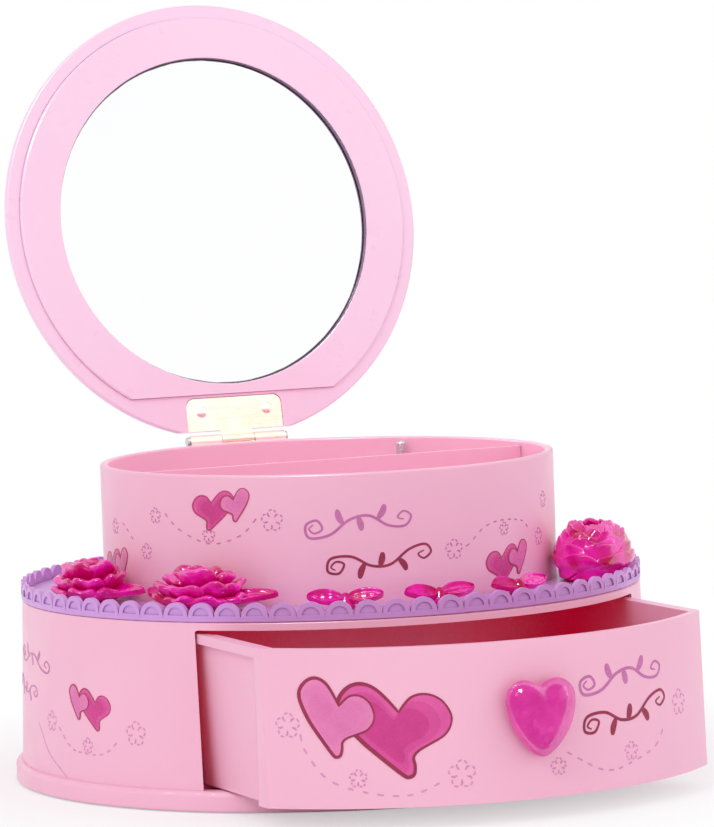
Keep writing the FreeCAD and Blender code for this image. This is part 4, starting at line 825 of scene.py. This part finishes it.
# Open roses: angles, first seed, stretch along and across the ledge, petals' random turns and growth, foot
BLOSSOM_ANGLES = (-86.0, -52.0)
BLOSSOM_SEED = 11
BLOSSOM_STRETCH = (1.36, 0.98)
BLOSSOM_WANDER = 0.15, (-0.16, 0.06)
BLOSSOM_FOOT = ((6.0, 0.0), (6.0, 1.2), (6.4, 2.6), (6.0, 5.6), (5.0, 8.4), (3.4, 11.0), (1.2, 12.8))
# Their rings of petals: count, span, radii, heights, curl and ruffle
BLOSSOM_RINGS = (
    (7, 1.05, (4.0, 11.2), (1.0, 5.0), 0.5, 0.7),
    (6, 1.2, (3.4, 10.6), (2.6, 9.2), 0.3, 0.7),
    (5, 1.4, (2.6, 8.2), (5.6, 13.0), 0.2, 0.7),
    (4, 1.7, (1.0, 4.4), (8.0, 15.0), 0.0, 0.5),
)
BLOSSOM_PETAL = 2.0
LOWEST_PETAL = 0.75

# Full rose: angle, seed, size, radius at the foot, share of its core, stretch along the ledge, flatter
# inner half, shift, and petals' random turns and lift
ROSE_ANGLE = 52.0
ROSE_SEED = 31
ROSE_RADIUS = 14.0
ROSE_HEIGHT = 19.4
ROSE_FOOT = 12.0
ROSE_CORE = 0.88
ROSE_STRETCH = 1.3
ROSE_INNER = 0.91
ROSE_SHIFT = -0.3
ROSE_WANDER = 0.18, (-0.6, 0.3)
ROSE_PETAL = 1.6
# Its rows of petals: count, span, heights, ruffle and twist
ROSE_ROWS = (
    (6, 1.35, (0.8, 9.4), 0.35, 1.0), (6, 1.3, (2.8, 12.2), 0.4, 1.0), (6, 1.25, (6.0, 14.0), 0.5, 0.8),
    (8, 0.95, (9.4, 15.4), 0.8, 0.5), (8, 0.95, (11.4, 16.6), 0.9, 0.4), (7, 1.05, (13.0, 17.6), 0.9, 0.3),
    (5, 1.4, (14.4, 18.2), 0.7, 0.2),
)

# Leaves: length, width, rise, roll, root and bend
BLOSSOM_LEAF = (20.6, 9.0, 1.6, 20.0, 2.8, 8.0)
SPRIG_LEAF = (11.0, 6.6, 0.9, 34.0, 0.9, 0.0)
LEAF_ROWS, LEAF_COLUMNS = 18, 16
LEAF_FOOT = 1.3
LEAF_HALF = 0.45
SPRIG_ANGLES = (-21.0, -1.0, 19.0)
SPRIG_BUD = ((3.2, 0.0), (3.2, 1.4), (2.6, 2.4), (1.7, 4.2), (0.7, 5.2))


def on_ledge(angle):
    """Placement on the ledge at an angle from the front."""
    turn = radians(angle)
    place = Vector((LEDGE_MIDDLE * sin(turn), -LEDGE_MIDDLE * cos(turn), LACE_TOP))
    spin = Matrix.Rotation(turn, 3, "Z")
    return lambda point: spin @ point + place


def petal_sheet(columns, rows, thickness, place):
    """Sheet of even thickness from a function of places across it, -1 to 1, and along it, 0 to 1."""
    grid = [
        [place(2 * column / columns - 1, row / rows) for column in range(columns + 1)]
        for row in range(rows + 1)
    ]
    pairs = []
    for row, line in enumerate(grid):
        pairs.append([])
        for column, point in enumerate(line):
            along = grid[min(row + 1, rows)][column] - grid[max(row - 1, 0)][column]
            across = line[min(column + 1, columns)] - line[max(column - 1, 0)]
            normal = along.cross(across)
            normal = normal.normalized() if normal.length > TINY else Vector((0, 0, 1))
            half = normal * thickness / 2
            pairs[-1].append((point + half, point - half))
    return plate(pairs)


def petal(rng, turn, growth, span, radii, heights, curl, ruffle):
    """Cupped petal with a lumpy edge. Its third draw only keeps the order of the later ones."""
    reach_phase, rise_phase, _ = (rng.uniform(0, tau) for _ in range(3))
    foot, top = heights[0], heights[1] * (1 + growth)

    def place(u, v):
        w = v * (1 - 0.22 * abs(u) ** 3.2)
        lump = ruffle * w ** 3
        angle = turn + u * span / 2 * (0.55 + 0.45 * sin(pi / 2 * min(1.0, 1.7 * v)))
        reach = radii[0] + (radii[1] - radii[0]) * w ** 0.8 + lump * sin(6 * u + reach_phase)
        rise = foot + (top - foot) * w ** 1.25 + curl * w ** 4 + lump * sin(5 * u + rise_phase)
        return Vector((reach * cos(angle), reach * sin(angle), max(rise, LOWEST_PETAL)))

    return petal_sheet(14, 8, BLOSSOM_PETAL, place)


def dome_radius(z):
    """Radius of the full rose at a height, held in below the fence's top."""
    return min(ROSE_RADIUS * (1 - (z / ROSE_HEIGHT) ** 2.6) ** 0.6, ROSE_FOOT + 1.2 * max(0.0, z - 4.4))


def dome_petal(rng, turn, lift, span, heights, ruffle, twist):
    """Petal that hugs the full rose and swirls round it, free at its top edge."""
    reach_phase, rise_phase = (rng.uniform(0, tau) for _ in range(2))
    foot, top = heights[0], heights[1] + lift

    def place(u, v):
        edge = top - 0.3 * (top - foot) * abs(u) ** 2.6
        z = foot + (edge - foot) * v
        angle = turn + u * span / 2 * (0.8 + 0.2 * v) + twist * v
        lump = ruffle * v ** 3
        lip = 0.9 * v ** 3 * (1 - abs(u) ** 3)
        reach = dome_radius(z) * (ROSE_CORE + 0.06 * v) + lip + lump * sin(5 * u + reach_phase)
        return Vector((reach * cos(angle), reach * sin(angle), z + lump * sin(4 * u + rise_phase)))

    return petal_sheet(12, 10, ROSE_PETAL, place)


def bloom(seed, rows, wander, growth, make, core, stretch):
    """Rows of petals round a core, each row half a petal on, with random turns and growth."""
    rng = random.Random(seed)
    mesh = Mesh()
    for index, (count, *shape) in enumerate(rows):
        for step in range(count):
            turn = tau * (step + 0.5 * index) / count + rng.uniform(-wander, wander)
            mesh.add(*make(rng, turn, rng.uniform(*growth), *shape))
    mesh.add(*core)
    mesh.points = [Vector(stretch(*point)) for point in mesh.points]
    return mesh


def open_rose(seed):
    """Open rose from rings of petals, wider along the ledge."""
    along, across = BLOSSOM_STRETCH
    core = lathe(BLOSSOM_FOOT, sides=20)
    return bloom(
        seed, BLOSSOM_RINGS, *BLOSSOM_WANDER, petal, core, lambda x, y, z: (x * along, y * across, z)
    )


def dome_rose(seed):
    """Full rose: petals that overlap up a dome, crumpled near the top."""
    heights = [0.0] + [1.0 + 15.6 * k / 12 for k in range(13)]
    core = lathe([(dome_radius(z) * ROSE_CORE, z) for z in heights], sides=36)

    def stretch(x, y, z):
        return x * ROSE_STRETCH, y * (ROSE_INNER if y > 0 else 1.0) + ROSE_SHIFT, z

    return bloom(seed, ROSE_ROWS, *ROSE_WANDER, dome_petal, core, stretch)


def leaf_pair(mesh, length, width, rise, roll, root, bend):
    """Leaves along X with a raised rim and midrib, tipped outwards and bent inwards."""
    tip = radians(roll)
    lift = Vector((0, -sin(tip), cos(tip)))
    for sign in (-1, 1):
        pairs = []
        for row in range(LEAF_ROWS + 1):
            t = row / LEAF_ROWS
            half = width / 2 * (sin(pi * min(1.0, 0.05 + 0.95 * t)) ** 0.62 * (1 - 0.2 * t) + 0.03)
            middle = LEAF_FOOT + width / 2 * sin(tip) + rise * sin(pi * 0.55 * t)
            pairs.append([])
            for column in range(LEAF_COLUMNS + 1):
                v = 2 * column / LEAF_COLUMNS - 1
                rim = max(0.0, min(1.0, (abs(v) - 0.45) / 0.3))
                ridge = 0.9 * rim + 0.5 * exp(-(v / 0.14) ** 2)
                ridge += 0.14 * sin(9 * pi * t) * (1 - abs(v))
                y, z = v * half * cos(tip) + bend * t ** 1.5, middle + v * half * sin(tip)
                place = Vector((sign * (root + length * t), y, z))
                pairs[-1].append((place + lift * (LEAF_HALF + ridge), place - lift * LEAF_HALF))
        mesh.add(*plate(pairs))


blossoms = Mesh()
for index, angle in enumerate(BLOSSOM_ANGLES):
    made = open_rose(BLOSSOM_SEED + index)
    leaf_pair(made, *BLOSSOM_LEAF)
    blossoms.merge(made, on_ledge(angle))
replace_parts(blossoms.piece("open_roses", magenta, "case", "magenta", rounded=True), "side_blossoms")

rose = Mesh()
rose.merge(dome_rose(ROSE_SEED), on_ledge(ROSE_ANGLE))
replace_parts(rose.piece("full_dome_rose", magenta, "case", "magenta", rounded=True), "full_rose")

sprigs = Mesh()
for angle in SPRIG_ANGLES:
    made = Mesh()
    leaf_pair(made, *SPRIG_LEAF)
    made.add(*lathe(SPRIG_BUD, sides=20))
    sprigs.merge(made, on_ledge(angle))
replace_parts(sprigs.piece("leaf_pairs", magenta, "case", "magenta", rounded=True), "leaf_sprigs")


# ---- heart knob

# Half of the heart as arcs: middle, radius, first angle, clockwise sweep and count; passes that soften it
KNOB_ARCS = (
    ((5.4804375, 6.3395092), 6.0920774, 2.6896508, 2.9281988, 16),
    ((-11.8612823, 7.8221744), 23.4441113, -0.1249693, 0.9153572, 20),
)
KNOB_TIP = (0.0, -12.4)
KNOB_PASSES = 8
# Rings as shares of the outline and depth, the circle that inner ones turn to, and the stem's rings
KNOB_RINGS = (
    (0.001, 0.2), (0.3, 0.15), (0.6, 0.08), (0.8, 0.03), (0.92, 0.06), (0.98, 0.14), (1.0, 0.26),
    (0.98, 0.42), (0.93, 0.56), (0.84, 0.69), (0.71, 0.8), (0.54, 0.89), (0.36, 0.95), (0.18, 0.99),
    (0.001, 1.0),
)
KNOB_DEPTH = 9.0
KNOB_ROUND = 10.6
KNOB_ROUNDING = 0.85
KNOB_STEM = ((4.0, 1.2), (4.0, 0.2), (4.2, -0.6), (3.6, -1.6), (2.0, -2.6))


def knob_line():
    """Plump heart outline about its middle, softened at the notch and tip."""
    right = []
    for middle, radius, first, sweep, count in KNOB_ARCS:
        right += [Vector(middle) + pointing(first - sweep * k / count) * radius for k in range(count)]
    left = [Vector((-point[0], point[1])) for point in right[1:]]
    line = right + [Vector(KNOB_TIP)] + left[::-1]
    count = len(line)
    for _ in range(KNOB_PASSES):
        line = [line[i] * 0.5 + (line[i - 1] + line[(i + 1) % count]) * 0.25 for i in range(count)]
    return line


def knob_ring(outline, share, swell):
    """Ring of the heart, facing -Y, rounder towards its middle."""
    ring = []
    for point in outline:
        place = point.lerp(point.normalized() * KNOB_ROUND, KNOB_ROUNDING * (1 - share)) * share
        ring.append(KNOB_MIDDLE + Vector((place[0], -KNOB_DEPTH * swell, place[1])))
    return ring


knob = Mesh()
outline = knob_line()
knob.add(*rings_closed([knob_ring(outline, *shares) for shares in KNOB_RINGS]))
knob.add(*rings_closed([
    [KNOB_MIDDLE + Vector((radius * cos(a), place, radius * sin(a))) for a in around(24)]
    for radius, place in KNOB_STEM
]))
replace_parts(knob.piece("puffed_heart_knob", knob_pink, "drawer", "magenta"), "heart_knob")


# ---- dancer

# Limbs as (x, y, share of the height) places and radii: leg, raised thigh, shin and chest
FIGURE_LIMBS = (
    (((0, 0, 0.05), (0.1, 0.1, 0.13), (0.2, 0, 0.25), (0.3, 0, 0.44)), (0.62, 0.95, 0.85, 1.5)),
    (((0.6, 0, 0.45), (3.0, -0.7, 0.41), (5.0, -1.2, 0.36)), (1.4, 1.2, 0.95)),
    (((5.0, -1.2, 0.36), (3.3, -1.1, 0.31), (1.6, -0.9, 0.262)), (0.95, 0.85, 0.55)),
    (((0, 0, 0.62), (0, 0, 0.69), (0, 0, 0.73), (0, 0, 0.78)), (1.3, 1.5, 0.72, 0.66)),
)
ARM = (
    ((1.5, 0, 0.69), (3.1, -0.2, 0.75), (3.9, -0.6, 0.83), (2.8, -0.8, 0.91), (1.0, -0.9, 0.97)),
    (0.72, 0.6, 0.55, 0.46, 0.34),
)
STRAP = (((1.0, -1.6, 0.66), (1.2, -0.6, 0.725), (1.0, 1.5, 0.66)), (0.22, 0.22, 0.22))
SHOES = (
    (((0, 0, 0.02), (0, 0, 0.04), (0.05, 0.05, 0.085)), (0.62, 0.86, 0.86)),
    (((1.9, -0.95, 0.27), (1.0, -0.8, 0.245)), (0.74, 0.5)),
)
# Bodice as (radius, share of the height) corners
BODICE = (
    (1.0, 0.405), (2.05, 0.43), (2.2, 0.46), (1.75, 0.52), (1.52, 0.555), (1.72, 0.6), (2.1, 0.65),
    (1.98, 0.675), (1.2, 0.69),
)
# Face lines as places about the head's middle and radii
NOSE = (((0, -1.75, -0.15), (0, -2.02, -0.35)), (0.16, 0.2))
EYES = tuple((((x - 0.22, -1.64, 0.12), (x + 0.22, -1.64, 0.12)), (0.13, 0.13)) for x in (-0.68, 0.68))
LIPS = (((-0.3, -1.62, -0.86), (0, -1.7, -0.92), (0.3, -1.62, -0.86)), (0.1, 0.16, 0.1))
THIN_SIDES = 8

# Tutu: waist, half thickness, share of the height, ruffle, and points round and across
TUTU_WAIST = 1.62
TUTU_HALF = 0.06
TUTU_SHARE = 0.53
TUTU_RUFFLE = 0.42
TUTU_SIDES, TUTU_RINGS = 144, 12


def dancer_place(x, y, share):
    """Point of the dancer from its share of the height."""
    return Vector((x, SPINDLE_PLACE + y, TURNTABLE_TOP + DANCER_HEIGHT * share))


HEAD = dancer_place(0, 0, 0.81)
BUN = dancer_place(0, 1.1, 0.885)


def add_limb(mesh, places, radii, sign=1, **options):
    """Limb through places of the dancer, mirrored if the sign is -1."""
    mesh.add(*limb([dancer_place(sign * x, y, share) for x, y, share in places], radii, **options))


def ball(middle, tilts, sides, place):
    """Closed round shape from rings at tilts, placed by a function of tilt and turn."""
    return rings_closed([[middle + Vector(place(a, b)) for b in around(sides)] for a in tilts])


def head_point(a, b):
    """Head, narrower at the chin."""
    size = 1.86 * sin(a) * (1.0 - 0.12 * max(0.0, -cos(a)))
    return size * 0.94 * cos(b), size * sin(b), -2.1 * cos(a)


def cap_point(a, b):
    """Hair that lies on the head, lower at the nape."""
    size = 2.06 * sin(a)
    rise = 2.24 * cos(a) - 0.52 * min(0.0, -sin(b)) * sin(a)
    return size * 0.96 * cos(b), 0.24 + size * sin(b), rise


def bun_point(a, b):
    """Twisted bun."""
    size = sin(a)
    return size * (1 + 0.06 * sin(6 * b + 3 * a)) * cos(b), size * sin(b), -0.9 * cos(a)


def tutu_layer(name, radius, waves, lift, droop, phase):
    """Ruffled round skirt layer cut from a disc."""
    pairs = []
    half = Vector((0, 0, TUTU_HALF))
    for t in (ring / TUTU_RINGS for ring in range(TUTU_RINGS + 1)):
        reach = TUTU_WAIST + (radius - TUTU_WAIST) * t
        pairs.append([])
        for a in around(TUTU_SIDES):
            rise = lift * sin(pi * 0.8 * t) - droop * t * t
            rise += TUTU_RUFFLE * t ** 1.3 * sin(waves * a + phase + 0.5 * sin(3 * a))
            spread = reach * (1 + 0.02 * t * sin(2 * waves * a + phase))
            place = dancer_place(spread * cos(a), spread * sin(a), TUTU_SHARE) + Vector((0, 0, rise))
            pairs[-1].append((place + half, place - half))
    mesh = Mesh()
    mesh.add(*plate(pairs, closed=True))
    made = mesh.piece(name, net_pink, "dancer", "tutu_pink")
    return made


skin = moulded("dancer_skin", srgb(250, 222, 206), srgb(244, 208, 190), rough=(0.3, 0.42))
hair = moulded("dancer_hair", srgb(112, 68, 44), srgb(84, 48, 30), rough=(0.3, 0.5))
bodice_pink = moulded("dancer_bodice", srgb(240, 130, 180), srgb(228, 104, 160), rough=(0.3, 0.45))
face_ink = ink("dancer_face_ink", srgb(96, 52, 40), srgb(80, 40, 32))
lip_ink = ink("dancer_lip_ink", srgb(212, 80, 110), srgb(196, 66, 98))
net_pink = tulle("pink_tulle", srgb(250, 190, 218), srgb(238, 150, 194))

figure, bodice, shoes, hair_mesh, eyes, lips = (Mesh() for _ in range(6))
for bone in FIGURE_LIMBS:
    add_limb(figure, *bone)
corners = [(radius, DANCER_HEIGHT * share) for radius, share in BODICE]
bodice.add(*lathe(corners, middle=dancer_place(0, 0, 0)))
for sign in (-1, 1):
    add_limb(figure, *ARM, sign)
    add_limb(bodice, *STRAP, sign, sides=THIN_SIDES)
figure.add(*ball(HEAD, [pi * step / 14 for step in range(1, 14)], 20, head_point))
for shoe in SHOES:
    add_limb(shoes, *shoe)
hair_mesh.add(*ball(HEAD, [radians(4 + 96 * step / 8) for step in range(8, -1, -1)], 24, cap_point))
hair_mesh.add(*ball(BUN, [pi * step / 12 for step in range(1, 12)], 24, bun_point))
for mesh, (places, radii) in ((figure, NOSE), (eyes, EYES[0]), (eyes, EYES[1]), (lips, LIPS)):
    mesh.add(*limb([HEAD + Vector(place) for place in places], radii, sides=THIN_SIDES))

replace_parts(figure.piece("dancer_body", skin, "dancer", "dancer_white"), "dancer_figure")
bodice.piece("dancer_bodice", bodice_pink, "dancer", "tutu_pink")
shoes.piece("dancer_shoes", bodice_pink, "dancer", "tutu_pink")
hair_mesh.piece("dancer_hair", hair, "dancer", "dancer_white")
eyes.piece("dancer_eyes", face_ink, "dancer", "dancer_white")
lips.piece("dancer_lips", lip_ink, "dancer", "dancer_white")
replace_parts(tutu_layer("tutu_top", 8.8, 17, 0.5, 0.4, 0.0), "dancer_tutu")
tutu_layer("tutu_middle", 8.3, 15, 0.1, 1.0, 1.3)
tutu_layer("tutu_under", 7.6, 13, -0.4, 1.7, 2.6)


# ---- stage, light and camera

# Floor: half its width, level just under the box, where it turns white and from which share
FLOOR_HALF = 6.0
FLOOR_LEVEL = -0.0004
FLOOR_FADE = (0.1, 0.2)
FLOOR_NEAR = 0.45
WORLD_LIGHT = 0.86

# Lamps: name, place, size, power, and whether it shows only as glints
LAMPS = (
    ("key", (-1.3, -0.9, 1.2), 0.5, 4.6, False),
    ("fill", (1.2, -1.0, 0.8), 0.8, 2.2, False),
    ("sparkle", (-0.7, -1.0, 1.6), 0.5, 60.0, True),
)
LAMP_AIM = Vector((0.0, 0.0, 0.08))

# Camera fitted to the photo
CAMERA_PLACE = Vector((-0.65668, -1.48791, 0.23307))
CAMERA_TURN = Euler((1.49749732, 0.034486976, -0.424523085))
CAMERA_SENSOR = 36.0
CAMERA_LENS = 219.4
CAMERA_FAR = 50.0


def make_floor():
    """Pale floor that keeps the shadow nearby and turns white further out."""
    data = bpy.data.meshes.new("floor")
    corners = [(x * FLOOR_HALF, y * FLOOR_HALF, FLOOR_LEVEL) for x, y in ((-1, -1), (1, -1), (1, 1), (-1, 1))]
    data.from_pydata(corners, [], [(0, 1, 2, 3)])
    look = Shader("pale_floor")
    tone = look.mix(look.clouds(6.0), (0.95, 0.94, 0.95, 1.0), (0.93, 0.925, 0.93, 1.0))
    look.put(Base_Color=tone, Roughness=0.8, Specular_IOR_Level=0.1)
    far = look.span(look.radius(), *FLOOR_FADE, FLOOR_NEAR, 1.0)
    white = look.node("Emission", {"Color": WHITE, "Strength": 1.0}).outputs[0]
    share = look.math("MULTIPLY", look.seen(), far)
    blend = look.node("MixShader", {0: share, 1: look.surface.outputs[0], 2: white}).outputs[0]
    look.feed(look.nodes["Material Output"].inputs["Surface"], blend)
    data.materials.append(look.material)
    show("floor", data)


def make_world():
    """White surroundings, dimmer as a light."""
    world = bpy.data.worlds.new("studio")
    world.use_nodes = True
    tree = Nodes(world.node_tree)
    background = tree.nodes["Background"].inputs
    tree.feed(background["Color"], WHITE)
    tree.feed(background["Strength"], tree.span(tree.seen(), 0.0, 1.0, WORLD_LIGHT, 1.0))
    bpy.context.scene.world = world


def make_lamp(name, place, size, power, glints):
    """Square lamp, or one that only shows in glossy surfaces."""
    data = bpy.data.lights.new(name, "AREA")
    data.size, data.energy = size, power
    lamp = show(name, data)
    lamp.location = place
    lamp.rotation_euler = (LAMP_AIM - Vector(place)).to_track_quat("-Z", "Y").to_euler()
    lamp.visible_diffuse = not glints


def make_camera():
    """Camera at the photograph's viewpoint."""
    data = bpy.data.cameras.new("photo_camera")
    data.sensor_width, data.lens, data.clip_end = CAMERA_SENSOR, CAMERA_LENS, CAMERA_FAR
    camera = show("photo_camera", data)
    camera.matrix_world = Matrix.LocRotScale(CAMERA_PLACE, CAMERA_TURN, None)
    bpy.context.scene.camera = camera


make_floor()
make_world()
for lamp in LAMPS:
    make_lamp(*lamp)
make_camera()
bpy.context.scene.view_settings.view_transform = "Standard"
